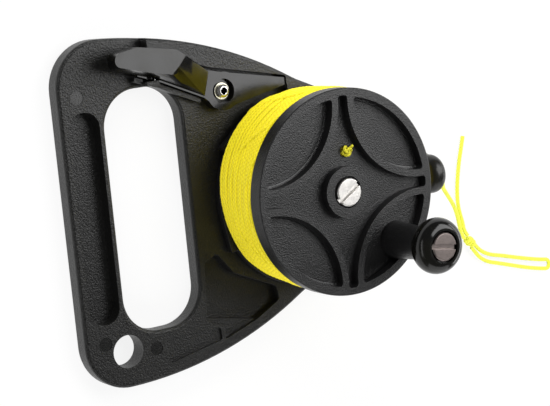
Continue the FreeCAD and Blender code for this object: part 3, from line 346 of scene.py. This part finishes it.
# The free line is the same line as the turns; this paler, greener copy paints the strong light that falls on
# it.
free_painted_bright_yellow = braided_line("line_bright_yellow", (0.86, 0.9, 0.09), painted_shade=(0.72, 0.7, 0.03))
# The anchor knot's second colour is very dark painted shade for its creases.
knot_yellow = braided_line("line_olive_yellow", (0.72, 0.66, 0.03), painted_shade=(0.14, 0.12, 0.006))


def new_piece(name, mesh, body, material=None, replaced=()):
    """A finished object at the origin that rides on a body."""
    piece = bpy.data.objects.new(name, mesh)
    bpy.context.scene.collection.objects.link(piece)
    if material:
        mesh.materials.clear()
        mesh.materials.append(material)
    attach(piece, body)
    if replaced:
        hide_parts(*replaced)
    return piece


def draft(name, data):
    """An object that is only there until its mesh is made."""
    thing = bpy.data.objects.new(name + "_draft", data)
    bpy.context.scene.collection.objects.link(thing)
    return thing


def plain_mesh(thing, name):
    """What an object's modifiers give, as a mesh of its own. The object goes."""
    bpy.context.view_layer.update()
    evaluated = thing.evaluated_get(bpy.context.evaluated_depsgraph_get())
    mesh = bpy.data.meshes.new_from_object(evaluated)
    mesh.name = name
    bpy.data.objects.remove(thing)
    return mesh


# Moulded pieces keep their solid's shape, with every sharp edge broken as a mould leaves it.

PLATE_TOP, MARK_FLOOR = 7.4, 7.2
HOLLOW_X, HOLLOW_Y = (-46, -12), (-52, -18)
PAD_SIDES_ABOVE = 14.8
RAIL_TOP = 12.4
# The rail's thin end: its lower face, inner radius and rounding, its outer corners, and its inner directions.
GUARD_LOW, GUARD_INSIDE, GUARD_ROUND = 11.45, 36.9, 0.8
GUARD_CORNERS = ((-3.9, 40.2), (-1.0, 41.4), (0.5, 40.56), (8.6, 36.86))
GUARD_ANGLES = [77.0 + 1.57 * step for step in range(13)]
# The flange's recesses: their floor, its smooth border, and the step down to its grained field.
RECESS_FLOOR, BORDER, FIELD_STEP, FIELD_STEP_RUN = 36.9, 1.0, 0.08, 0.14
STAR_INSIDE, POST_INSIDE = 12.0, 7.5
SAME_HEIGHT = 0.02
WIDE_FACE = 300.0  # square millimetres, from where a face is left flat
BENT, SHARP = math.radians(25), math.radians(32)


def rounder(build, chosen, width_mm, segments):
    """Rounds the outer edges that chosen picks out by their two ends, in millimetres from the axis."""
    edges = []
    for edge in build.edges:
        ends = [Vector((v.co.x - spool_axis.x, v.co.y - spool_axis.y, v.co.z)) / MM for v in edge.verts]
        if len(edge.link_faces) == 2 and edge.calc_face_angle_signed(0.0) > BENT and chosen(*ends):
            edges.append(edge)
    bmesh.ops.bevel(
        build, geom=edges, offset=width_mm * MM, segments=segments, profile=0.5, affect="EDGES",
        offset_type="OFFSET", clamp_overlap=True,
    )


def by_the_hollow(one, two):
    """The upper edge of the hollow below the spool."""
    return all(
        abs(end.z - PLATE_TOP) < 0.01
        and HOLLOW_X[0] < end.x < HOLLOW_X[1] and HOLLOW_Y[0] < end.y < HOLLOW_Y[1]
        for end in (one, two)
    )


def by_the_pad(one, two):
    """The outline of the thumb pad's top, and the ends of its slope."""
    return max(one.z, two.z) > PAD_SIDES_ABOVE


def by_pad_corners(one, two):
    """The upright corners of the thumb pad."""
    return abs(one.z - two.z) > 0.9 * (one - two).length and by_the_pad(one, two)


def by_the_guard(one, two):
    """The upper outer edge of the rail's thin end."""
    return all(
        end.z > RAIL_TOP - 0.1 and end.xy.length > GUARD_INSIDE + 0.5 and end.x > -1.1 for end in (one, two)
    )


def rail_guard():
    """The rail's thin end, which runs on over the spool's rear teeth to a point at the frame's edge."""
    outline = [spot(x, y, 0) for x, y in GUARD_CORNERS]
    outline += [round_spot(GUARD_INSIDE, degrees, 0) for degrees in GUARD_ANGLES]
    build = bmesh.new()
    low, high = (
        [build.verts.new((place.x, place.y, z * MM)) for place in outline] for z in (GUARD_LOW, RAIL_TOP)
    )
    for index in range(len(outline)):
        after = (index + 1) % len(outline)
        build.faces.new((low[index], low[after], high[after], high[index]))
    build.faces.new(high)
    build.faces.new(low)
    bmesh.ops.recalc_face_normals(build, faces=build.faces)
    rounder(build, by_the_guard, GUARD_ROUND, 4)
    mesh = bpy.data.meshes.new("rail_guard")
    build.to_mesh(mesh)
    build.free()
    return mesh


def recess_floors(build):
    """The floors of the recesses in the front flange, each as a list of faces that touch."""
    left = [
        face for face in build.faces
        if face.normal.z > 0.999 and abs(face.calc_center_median().z / MM - RECESS_FLOOR) < SAME_HEIGHT
    ]
    while left:
        found = [left.pop(0)]
        for face in found:
            for other in [other for edge in face.edges for other in edge.link_faces]:
                if other in left:
                    left.remove(other)
                    found.append(other)
        yield found


def bordered(build, shine):
    """Gives each recess floor that meets neither the star nor the crank post a smooth border.

    The grained field within the border lies a tiny step lower."""
    low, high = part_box("knob_screw")
    post = (Vector(low) + Vector(high)) / 2
    for found in recess_floors(build):
        corners = {vertex for face in found for vertex in face.verts}
        near_axis = min((vertex.co.xy - spool_axis.xy).length for vertex in corners) / MM
        near_post = min((vertex.co.xy - post.xy).length for vertex in corners) / MM
        if near_axis < STAR_INSIDE or near_post < POST_INSIDE:
            continue
        bmesh.ops.inset_region(build, faces=found, thickness=BORDER * MM, use_even_offset=True)
        for vertex in corners | {vertex for face in found for vertex in face.verts}:
            vertex[shine] = 1.0
        bmesh.ops.inset_region(
            build, faces=found, thickness=FIELD_STEP_RUN * MM, depth=-FIELD_STEP * MM, use_even_offset=True)
        for vertex in {vertex for face in found for vertex in face.verts}:
            vertex[shine] = 0.0


def broken_edges(node, name, body, material, width_mm, segments=2, soft=(), polished=(),
                 borders=False, added=None, flat=0.4):
    """A node's form with its sharp edges broken.

    The edges that soft picks out are rounded more, and what lies at the polished heights has no grain. A form
    that is added grows into the rest. Faces that bend by less than flat become one."""
    mesh = nodes[node].data.copy()
    build = bmesh.new()
    build.from_mesh(mesh)
    bmesh.ops.remove_doubles(build, verts=build.verts, dist=2e-6)
    bmesh.ops.dissolve_limit(build, angle_limit=math.radians(flat), verts=build.verts, edges=build.edges)
    for chosen, round_mm, round_segments in soft:
        rounder(build, chosen, round_mm, round_segments)
    shine = build.verts.layers.float.new("polished")
    for vertex in build.verts:
        vertex[shine] = float(any(abs(vertex.co.z / MM - height) < SAME_HEIGHT for height in polished))
    if borders:
        bordered(build, shine)
    for face in build.faces:
        face.smooth = face.calc_area() < WIDE_FACE * MM ** 2
    build.to_mesh(mesh)
    build.free()
    thing = draft(name, mesh)
    if added:
        grown = draft(name + "_added", added)
        union = thing.modifiers.new("added", "BOOLEAN")
        union.operation = "UNION"
        union.solver = "EXACT"
        union.object = grown
    bevel = thing.modifiers.new("edge", "BEVEL")
    bevel.width = width_mm * MM
    bevel.segments = segments
    bevel.limit_method = "ANGLE"
    bevel.angle_limit = SHARP
    bevel.use_clamp_overlap = True
    even = thing.modifiers.new("even", "WEIGHTED_NORMAL")
    even.mode = "FACE_AREA"
    even.weight = 80
    new_piece(name, plain_mesh(thing, name), body, material, [node])
    if added:
        bpy.data.objects.remove(grown)


broken_edges("frame", "frame_plate", "frame", grained_black, width_mm=0.35,
             soft=[(by_the_hollow, 0.8, 3)], polished=[MARK_FLOOR], added=rail_guard())
broken_edges("stopper_lever", "thumb_lever", "lever", polished_black, width_mm=0.6,
             segments=3, soft=[(by_pad_corners, 2.0, 5), (by_the_pad, 0.9, 4)], flat=4.0)
broken_edges("spool_front_flange", "front_flange", "spool", spool_black, width_mm=0.5,
             segments=3, borders=True)
broken_edges("spool_rear_flange", "rear_flange", "spool", spool_black, width_mm=0.3)
broken_edges("axle_bolt", "axle_bolt_turned", "frame", pale_steel, width_mm=0.12)
broken_edges("knob_screw", "knob_screw_turned", "spool", brown_steel, width_mm=0.12)
broken_edges("lever_screw", "lever_screw_turned", "frame", small_steel, width_mm=0.08)
broken_edges("line_guide", "nose_guide", "frame", satin_black, width_mm=0.5, segments=3)


# The line: plaited round any curve by one tree.

def new_curve(name, points, kind="POLY"):
    """A curve object with one open spline through, or drawn by, these points."""
    data = bpy.data.curves.new(name, "CURVE")
    data.dimensions = "3D"
    spline = data.splines.new(kind)
    spline.points.add(len(points) - 1)
    for point, place in zip(spline.points, points):
        point.co = (*place, 1.0)
    if kind == "NURBS":
        spline.order_u = 3
        spline.use_endpoint_u = True
        data.resolution_u = 16
    return draft(name, data)


def smooth_path(name, points):
    """The line of a smooth spline with these points as its control points."""
    mesh = plain_mesh(new_curve(name, points, "NURBS"), name)
    path = [vertex.co.copy() for vertex in mesh.vertices]
    bpy.data.meshes.remove(mesh)
    return path


class Shaping(Wiring):
    """A Geometry Nodes tree from a curve to a mesh, with named inputs."""

    def __init__(self, name, inputs):
        super().__init__(bpy.data.node_groups.new(name, "GeometryNodeTree"))
        face = self.tree.interface
        face.new_socket("Geometry", in_out="INPUT", socket_type="NodeSocketGeometry")
        for label, kind in inputs.items():
            face.new_socket(label, in_out="INPUT", socket_type="NodeSocket" + kind)
        face.new_socket("Geometry", in_out="OUTPUT", socket_type="NodeSocketGeometry")
        self.given = self.node("NodeGroupInput").outputs

    def store(self, geometry, name, value, kind="FLOAT"):
        """Keeps a value on every point, under a name."""
        node = self.node("GeometryNodeStoreNamedAttribute", {"data_type": kind, "domain": "POINT"}, {
            "Geometry": geometry, "Name": name, "Value": value,
        })
        return node.outputs[0]

    def stored(self, name, kind="FLOAT"):
        node = self.node("GeometryNodeInputNamedAttribute", {"data_type": kind}, {"Name": name})
        return Amount(self, node.outputs[0])

    def vectors(self, operation, *values, **named):
        node = self.node("ShaderNodeVectorMath", {"operation": operation}, dict(enumerate(values)) | named)
        return node.outputs["Value" if operation == "DOT_PRODUCT" else "Vector"]


def plaited_line_tree():
    """Sweeps a circle along the curve, lifts its strands, and keeps where each point is on the line."""
    tree = Shaping("plaited_line", {
        "Radius": "Float", "Step": "Float", "Sides": "Int", "Relief": "Float", "Strands": "Float",
        "Stitch": "Float", "Axis": "Vector", "Finish": "Material",
    })
    given = tree.given
    rail = tree.node("GeometryNodeResampleCurve", {"mode": "LENGTH"}, {
        "Curve": given["Geometry"], "Length": given["Step"],
    }).outputs[0]
    place = tree.node("GeometryNodeInputPosition").outputs[0]
    rail = tree.store(rail, "along", tree.node("GeometryNodeSplineParameter").outputs["Length"])
    rail = tree.store(rail, "centre", place, "FLOAT_VECTOR")
    ring = tree.node("GeometryNodeCurvePrimitiveCircle", {"mode": "RADIUS"}, {
        "Resolution": given["Sides"], "Radius": given["Radius"],
    }).outputs[0]
    corner = Amount(tree, tree.node("GeometryNodeInputIndex").outputs[0])
    turn = corner * math.tau / Amount(tree, given["Sides"])
    ring = tree.store(ring, "turn_cos", turn.cosine())
    ring = tree.store(ring, "turn_sin", turn.sine())
    tube = tree.node("GeometryNodeCurveToMesh", {}, {
        "Curve": rail, "Profile Curve": ring, "Fill Caps": True,
    }).outputs[0]
    from_centre = tree.vectors("SUBTRACT", place, tree.stored("centre", "FLOAT_VECTOR"))
    from_axis = tree.vectors("MULTIPLY", tree.vectors("SUBTRACT", place, given["Axis"]), (1.0, 1.0, 0.0))
    outward, away = (tree.vectors("NORMALIZE", vector) for vector in (from_centre, from_axis))
    tube = tree.store(tube, "facing", tree.vectors("DOT_PRODUCT", outward, away))
    stored = [tree.stored(label) for label in ("turn_cos", "turn_sin", "along")]
    height = plait_height(*stored, Amount(tree, given["Strands"]), Amount(tree, given["Stitch"]))
    lift = (height - 0.75) * Amount(tree, given["Relief"])
    tube = tree.node("GeometryNodeSetPosition", {}, {
        "Geometry": tube, "Offset": tree.vectors("SCALE", outward, Scale=lift),
    }).outputs[0]
    tube = tree.node("GeometryNodeSetShadeSmooth", {}, {"Geometry": tube, "Shade Smooth": True}).outputs[0]
    tube = tree.node("GeometryNodeRealizeInstances", {}, {"Geometry": tube}).outputs[0]
    tube = tree.node("GeometryNodeSetMaterial", {}, {"Geometry": tube, "Material": given["Finish"]})
    tree.node("NodeGroupOutput", {}, {0: tube.outputs[0]})
    return tree.tree


plaited_line = plaited_line_tree()


def plaited(name, path, material, sides=12, step_mm=0.4, relief_mm=0.2, thick_mm=LINE_THICK):
    """Plaited line along a path, as a mesh."""
    thing = new_curve(name, path)
    modifier = thing.modifiers.new(name, "NODES")
    modifier.node_group = plaited_line
    values = {
        "Radius": thick_mm / 2 * MM, "Step": step_mm * MM, "Sides": sides, "Relief": relief_mm * MM,
        "Strands": STRANDS, "Stitch": STITCH * MM, "Axis": spool_axis, "Finish": material,
    }
    for item in plaited_line.interface.items_tree:
        if item.in_out == "INPUT" and item.name in values:
            modifier[item.identifier] = values[item.name]
    return plain_mesh(thing, name)


# The line on the spool: packed rows below, an outer layer of turns, and a few turns that cross it.

# The heights of the first and last turn, the rise from one to the next, and how far they stray.
TURN_LOW, TURN_HIGH, TURN_PITCH = 11.95, 33.1, 1.46
WANDER, DRIFT, SWELL = 0.34, 0.1, 0.12
# How far out the line stands: towards the back by direction, at the front, at its foot, and below the rim.
BACK_REACHES = [
    (15, 37.2), (62, 37.4), (85, 37.6), (103, 37.8), (119, 38.5), (140, 38.7), (157, 38.6), (174, 38.1),
    (188, 37.5), (203, 36.7), (215, 36.9), (230, 36.1), (243, 35.9), (256, 36.6), (285, 37.1),
]
FRONT_REACH, FOOT_REACH, FOOT_TOP = 37.1, 36.0, 12.2
FRONT_FROM, FRONT_TO = 16.0, 27.0
RIM_SINKS, RIM_FROM, RIM_TO = 0.4, 31.0, 33.5
# Where the turns lie loose, over what spread, and how far out and up they go there.
LOOSE_TURN, LOOSE_SPREAD, LOOSE_OUT, LOOSE_UP = 85.0, 24, 0.9, 1.2
# Each crossing turn by its directions and heights.
CROSSING_TURNS = [
    [(134, 12.9), (126, 13.4), (120, 14.6), (111, 21.5), (101, 29.5), (92, 32.8), (78, 33.0), (60, 32.6)],
    [(108, 32.8), (122, 32.4), (134, 30.6), (141, 25.6), (149, 21.8), (159, 20.8), (169, 20.2), (181, 20.6),
     (190, 21.0), (198, 21.3), (207, 24.6), (219, 28.6), (238, 31.0), (252, 31.6)],
    [(139, 32.6), (152, 31.8), (163, 30.6), (172, 29.2), (183, 29.4), (197, 31.2), (214, 32.2)],
    [(196, 13.6), (206, 14.4), (216, 17.6), (228, 20.8), (242, 22.4), (262, 22.8)],
    [(262, 14.0), (288, 18.0), (310, 25.0), (332, 30.0), (352, 31.4)],
]
CROSSING_UP, CROSSING_SUNK = 0.4, 0.9
PACKED_BELOW = 0.75
WOUND_RELIEF = 0.22


def by_direction(table, degrees):
    """A smooth value between a table's directions, right round the axis."""
    degrees = (degrees - table[0][0]) % 360 + table[0][0]
    for before, after in zip(table, table[1:] + [(table[0][0] + 360, table[0][1])]):
        if degrees <= after[0]:
            return before[1] + (after[1] - before[1]) * eased(degrees, before[0], after[0])


def wound_reach(degrees, z):
    """How far the middle of the outer turns is from the axis: lean at both flanges, full between."""
    away = (degrees - LOOSE_TURN + 180) % 360 - 180
    loose = math.exp(-(away / LOOSE_SPREAD) ** 2)
    back = by_direction(BACK_REACHES, degrees)
    front = FRONT_REACH + LOOSE_OUT * loose
    foot_top = FOOT_TOP + LOOSE_UP * loose
    reach = FOOT_REACH + (back - FOOT_REACH) * eased(z, foot_top, foot_top + 1.2)
    reach += (front - back) * eased(z, FRONT_FROM, FRONT_TO)
    return reach - RIM_SINKS * eased(z, RIM_FROM, RIM_TO) - LINE_THICK / 2


def wound_turns():
    """One long line, wound turn by turn with a little wander, so that gaps open and close."""
    steps = 72
    turns = (TURN_HIGH - TURN_LOW) / TURN_PITCH
    path = []
    for index in range(int(turns * steps) + 1):
        turn = index / steps
        angle = 360 * turn
        wander = WANDER * math.sin(math.radians(2 * angle + 24 * turn)) + DRIFT * math.sin(3.4 * turn + 5.0)
        wander *= eased(turn, 0.5, 2.0) * eased(turns - turn, 0.2, 1.5)
        z = TURN_LOW + TURN_PITCH * turn + wander
        swell = SWELL * math.sin(math.radians(5 * angle) + 9.1 * turn)
        path.append(round_spot(wound_reach(angle, z) + swell * eased(turn, 0.8, 2.0), angle, z))
    return path


def crossing_path(turn_points):
    """A turn that rides up over the others and sinks back between them at both ends."""
    last = len(turn_points) - 1
    places = []
    for index, (degrees, z) in enumerate(turn_points):
        sunk = CROSSING_SUNK if index in (0, last) else 0.0
        places.append(round_spot(wound_reach(degrees, z) + CROSSING_UP - sunk, degrees, z))
    return smooth_path("crossing", places)


def joined_meshes(name, meshes):
    """Several meshes as one, with their attributes kept."""
    things = [draft(name + str(index), mesh) for index, mesh in enumerate(meshes)]
    with bpy.context.temp_override(active_object=things[0], selected_editable_objects=things):
        bpy.ops.object.join()
    mesh = things[0].data
    bpy.data.objects.remove(things[0])
    mesh.name = name
    return mesh


def packed_rows():
    """A closed ring below the outer turns, with a surface that follows them."""
    around, levels = 180, 36
    low, high = (corner[2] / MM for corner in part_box("line_core"))
    core = nodes["line_core"].data.vertices
    inner = min(math.hypot(v.co.x - spool_axis.x, v.co.y - spool_axis.y) for v in core) / MM
    build = bmesh.new()
    directions = [360 * index / around for index in range(around)]
    rings = []
    for level in range(levels + 1):
        z = low + (high - low) * level / levels
        rings.append([
            build.verts.new(round_spot(wound_reach(degrees, z) - PACKED_BELOW, degrees, z))
            for degrees in directions
        ])
    for z in (high, low):
        rings.append([build.verts.new(round_spot(inner, degrees, z)) for degrees in directions])
    for upper, lower in zip(rings, rings[1:] + rings[:1]):
        for index in range(around):
            after = (index + 1) % around
            build.faces.new((upper[index], upper[after], lower[after], lower[index]))
    bmesh.ops.recalc_face_normals(build, faces=build.faces)
    mesh = bpy.data.meshes.new("packed_line")
    build.to_mesh(mesh)
    build.free()
    mesh.shade_smooth()
    mesh.set_sharp_from_angle(angle=math.radians(50))
    return mesh


new_piece("packed_line", packed_rows(), "spool", packed_shaded_yellow, ["line_core"])
turns = plaited("wound_turns", wound_turns(), wound_yellow, sides=12, step_mm=0.44, relief_mm=WOUND_RELIEF)
new_piece("wound_turns", turns, "spool", replaced=["line_winding"])
crossing = [
    plaited("crossing", crossing_path(points), wound_yellow, sides=14, step_mm=0.36, relief_mm=WOUND_RELIEF)
    for points in CROSSING_TURNS
]
new_piece("crossing_turns", joined_meshes("crossing_turns", crossing), "spool",
          replaced=["line_winding"])


# The drawn-off line: through the guide, down to the knot, and out to a short end and a loop.

KNOT_HALF, STRAND_ASIDE, STRAND_EASE = 2.5, 0.95, 2.6
knot_middle = spot(83.0, -36.2, 2.1)
knot_way = Vector((0.602, -0.798, 0.0)).normalized()
guide_mouth = spot(47.0, -2.45, 20.9)
guide_outlet = spot(55.6, -2.45, 20.9)


def by_the_knot(along, aside=0.0, up=0.0):
    """A place beside the knot's middle, by how far along, aside of and above its axis it is."""
    side = Vector((-knot_way.y, knot_way.x, 0.0))
    return knot_middle + knot_way * along * MM + side * aside * MM + Vector((0, 0, up * MM))


def beside_knot(end, side, ease=0.0):
    """Where a strand meets the knot: end is -1 or 1 along the knot, and side -1 or 1 across it."""
    return by_the_knot(end * (KNOT_HALF + ease), side * STRAND_ASIDE)


free_points = [
    guide_outlet, guide_outlet + Vector((3.6 * MM, 0, 0)), spot(60.3, -8.8, 16.6), spot(65.2, -12.7, 12.5),
    spot(70.7, -17.2, 8.4), spot(74.4, -21.1, 5.6), spot(76.8, -25.0, 3.7), spot(78.2, -28.9, 2.6),
    beside_knot(-1, -1, STRAND_EASE), beside_knot(-1, -1),
]
tag_points = [
    beside_knot(-1, 1), beside_knot(-1, 1, STRAND_EASE), spot(81.0, -28.0, 1.2), spot(80.1, -24.0, 0.9),
    spot(79.5, -19.6, 0.9), spot(79.8, -14.2, 0.9), spot(80.8, -8.2, 0.9), spot(82.1, -2.6, 0.9),
    spot(83.6, 2.2, 0.9), spot(84.8, 6.6, 0.9),
]
loop_points = [
    beside_knot(1, 1), beside_knot(1, 1, STRAND_EASE), spot(90.2, -42.0, 1.0), spot(94.2, -43.9, 0.9),
    spot(99.8, -45.2, 0.9), spot(107.2, -47.3, 0.9), spot(114.8, -49.3, 0.9), spot(120.9, -50.7, 0.9),
    spot(125.0, -51.3, 0.9), spot(124.7, -55.2, 0.9), spot(120.2, -54.4, 0.9), spot(113.4, -52.8, 0.9),
    spot(105.4, -50.4, 0.9), spot(98.4, -48.2, 0.9), spot(92.6, -46.6, 0.9), spot(88.4, -44.0, 1.0),
    beside_knot(1, -1, STRAND_EASE), beside_knot(1, -1),
]
lead_start = math.degrees(math.atan2(-24.0, 28.9))
lead_points = [
    round_spot(37.6, lead_start - 16, 12.9), round_spot(37.7, lead_start - 8, 13.0),
    round_spot(37.6, lead_start, 13.2), spot(38.0, -13.3, 17.6), guide_mouth, guide_outlet,
]


def wrapped_knot():
    """A few turns of line round the doubled line, drawn tight and a little askew."""
    steps, turns = 28, 2.6
    reach_mm, length_mm, askew_mm = 1.2, 3.5, 0.35
    path = []
    for index in range(int(turns * steps) + 1):
        share = index / (turns * steps)
        angle = math.tau * share * turns
        reach = reach_mm * eased(share, 0.0, 0.12) * eased(1 - share, 0.0, 0.12) + 0.1
        along = (share - 0.5) * length_mm + askew_mm * math.sin(angle)
        path.append(by_the_knot(along, reach * math.cos(angle), reach * math.sin(angle)))
    return path


def cord_piece(name, points, node, length_mm, **facts):
    """A free stretch of the line, plaited along a smooth path through the points, in place of its node."""
    path = smooth_path(name, points)
    mesh = plaited(name, path, free_painted_bright_yellow, sides=14, step_mm=0.3)
    new_piece(name, mesh, "frame", replaced=[node])
    tuple(points[0])


lead = plaited("lead_line", smooth_path("lead", lead_points), free_painted_bright_yellow, sides=14, step_mm=0.3)
new_piece("lead_line", lead, "frame", replaced=["line_lead"])
wraps = plaited("line_knot_wraps", wrapped_knot(), free_painted_bright_yellow, sides=14, step_mm=0.25, thick_mm=1.5)
line_knot = new_piece("line_knot_wraps", wraps, "frame", replaced=["line_knot"])
cord_piece("tag_line", tag_points, "line_tag", 41.4, far_end="bare")
cord_piece("loop_line", loop_points, "line_loop", 90.4, far_end="knot")
cord_piece("free_line", free_points, "line_free", 47.4, far_end="knot", with_pieces=[line_knot])


def anchor_knot():
    """A small knot with three lobes, seated in the anchor hole, and its two cut ends."""
    steps = 96
    low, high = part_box("anchor_knot")
    middle = Vector(((low[0] + high[0]) / 2, (low[1] + high[1]) / 2, high[2] - 2.2 * MM))
    path = []
    for index in range(steps + 1):
        turn = math.tau * index / steps
        reach = 1.0 + 0.62 * math.cos(3 * turn) + 0.12 * math.sin(5 * turn)
        place = Vector((reach * math.cos(2 * turn), reach * math.sin(2 * turn), 0.75 * math.sin(3 * turn)))
        path.append(middle + place * MM)
    down = ((0.3, 0.2, 0.6), (0.1, 0.1, -1.4), (0.0, 0.0, -4.0))
    end = ((0.6, 0.7, 0.3), (1.2, 1.4, 0.9), (1.5, 2.0, 1.7))
    look = {"sides": 12, "step_mm": 0.25, "relief_mm": 0.16}
    meshes = [plaited("anchor", path, knot_yellow, thick_mm=1.15, **look)]
    for places in (down, end):
        strand = smooth_path("anchor", [middle + Vector(place) * MM for place in places])
        meshes.append(plaited("anchor", strand, knot_yellow, thick_mm=1.0, **look))
    return joined_meshes("anchor_knot_tied", meshes)


new_piece("anchor_knot_tied", anchor_knot(), "spool", replaced=["anchor_knot"])

# Pieces that keep their solid's mesh, and only take a finish.

kept_finishes = {
    "lever_bush": warm_brass, "lever_insert": warm_brass, "knob_insert": warm_brass,
    "lever_washer": stained_steel, "front_washer": small_steel, "axle_nut": small_steel,
    "axle_sleeve": small_steel, "guide_screw": small_steel, "lever_spring": small_steel,
    "rear_washer": white_slip, "crank_knob": polished_black,
}
for name, material in kept_finishes.items():
    mesh = nodes[name].data
    mesh.materials.clear()
    mesh.materials.append(material)


# The stage: a pale floor, soft boxes and the photograph's camera.

FLOOR_GLOW = 0.86  # how much of the floor that the camera and polished faces see is plain white
WORLD_LIGHT = 0.14
AIMED_AT = (0, 0, 20)
# Each soft box has a place, a width, a height, a power, and shows in polished faces or not.
SOFT_BOXES = {
    "beyond_nose": ((200, 125, 330), 300, 350, 1.35, True),
    "handle_side": ((-840, -60, 450), 1000, 160, 1.0, True),
    "low_beyond": ((700, -60, 190), 900, 160, 1.4, True),
    "upper_fill": ((-200, 680, 320), 500, 400, 5.2, False),
    "lower_fill": ((-300, -640, 320), 500, 400, 3.5, False),
    "lower_side": ((150, -600, 220), 700, 400, 1.0, True),
}
CAMERA_PLACE = (-360.81, 95.64, 571.07)
CAMERA_RIGHT, CAMERA_DOWN = (0.83806, -0.09530, 0.53719), (-0.16041, -0.98415, 0.07566)
SENSOR_WIDTH, FOCAL_LENGTH = 36.0, 117.66


def make_floor():
    """A floor that is white to the camera, but for the reel's soft shadow."""
    bpy.ops.mesh.primitive_plane_add(size=6.0)
    floor = bpy.context.object
    floor.name = "floor"
    finish = Finish("floor_pale", (0.92, 0.92, 0.92), roughness=0.9, specular=0.1)
    path = finish.node("ShaderNodeLightPath").outputs
    seen = Amount(finish, path["Is Camera Ray"]) + Amount(finish, path["Is Glossy Ray"])
    glow = finish.node("ShaderNodeEmission", {}, {"Color": (1, 1, 1, 1), "Strength": 1.0})
    mix = finish.node("ShaderNodeMixShader", {}, {
        0: seen.clipped() * FLOOR_GLOW, 1: finish.shader.outputs[0], 2: glow.outputs[0],
    })
    output = next(n for n in finish.tree.nodes if n.type == "OUTPUT_MATERIAL")
    finish.fill(output.inputs[0], mix.outputs[0])
    floor.data.materials.append(finish.material)


def make_world():
    """A white world that lights the reel only a little."""
    world = bpy.data.worlds.new("studio")
    bpy.context.scene.world = world
    world.use_nodes = True
    wiring = Wiring(world.node_tree)
    background = next(n for n in wiring.tree.nodes if n.type == "BACKGROUND")
    path = wiring.node("ShaderNodeLightPath").outputs
    strength = wiring.node("ShaderNodeMix", {}, {0: path["Is Camera Ray"], 2: WORLD_LIGHT, 3: 1.0})
    wiring.fill(background.inputs["Color"], (1, 1, 1, 1))
    wiring.fill(background.inputs["Strength"], strength.outputs[0])


def soft_box(name, place_mm, width_mm, height_mm, power, mirrored):
    """A rectangular lamp that faces the middle of the reel, and shows in polished faces or not."""
    lamp = bpy.data.lights.new(name, "AREA")
    lamp.shape = "RECTANGLE"
    lamp.size = width_mm * MM
    lamp.size_y = height_mm * MM
    lamp.energy = power
    thing = bpy.data.objects.new(name, lamp)
    bpy.context.scene.collection.objects.link(thing)
    thing.visible_glossy = mirrored
    thing.location = spot(*place_mm)
    thing.rotation_euler = (spot(*AIMED_AT) - thing.location).to_track_quat("-Z", "Y").to_euler()


def place_camera():
    """At the photograph's place, from the directions of its picture in the frame."""
    right = Vector(CAMERA_RIGHT).normalized()
    down = Vector(CAMERA_DOWN).normalized()
    forward = right.cross(down)
    lens = bpy.data.cameras.new("camera")
    lens.sensor_width = SENSOR_WIDTH
    lens.lens = FOCAL_LENGTH
    lens.clip_end = 10.0
    camera = bpy.data.objects.new("camera", lens)
    bpy.context.scene.collection.objects.link(camera)
    turn = Matrix((right, -down, -forward)).transposed().to_4x4()
    camera.matrix_world = Matrix.Translation(spot(*CAMERA_PLACE)) @ turn
    bpy.context.scene.camera = camera


make_floor()
make_world()
for name, facts in SOFT_BOXES.items():
    soft_box(name, *facts)
place_camera()
bpy.context.scene.view_settings.view_transform = "Standard"
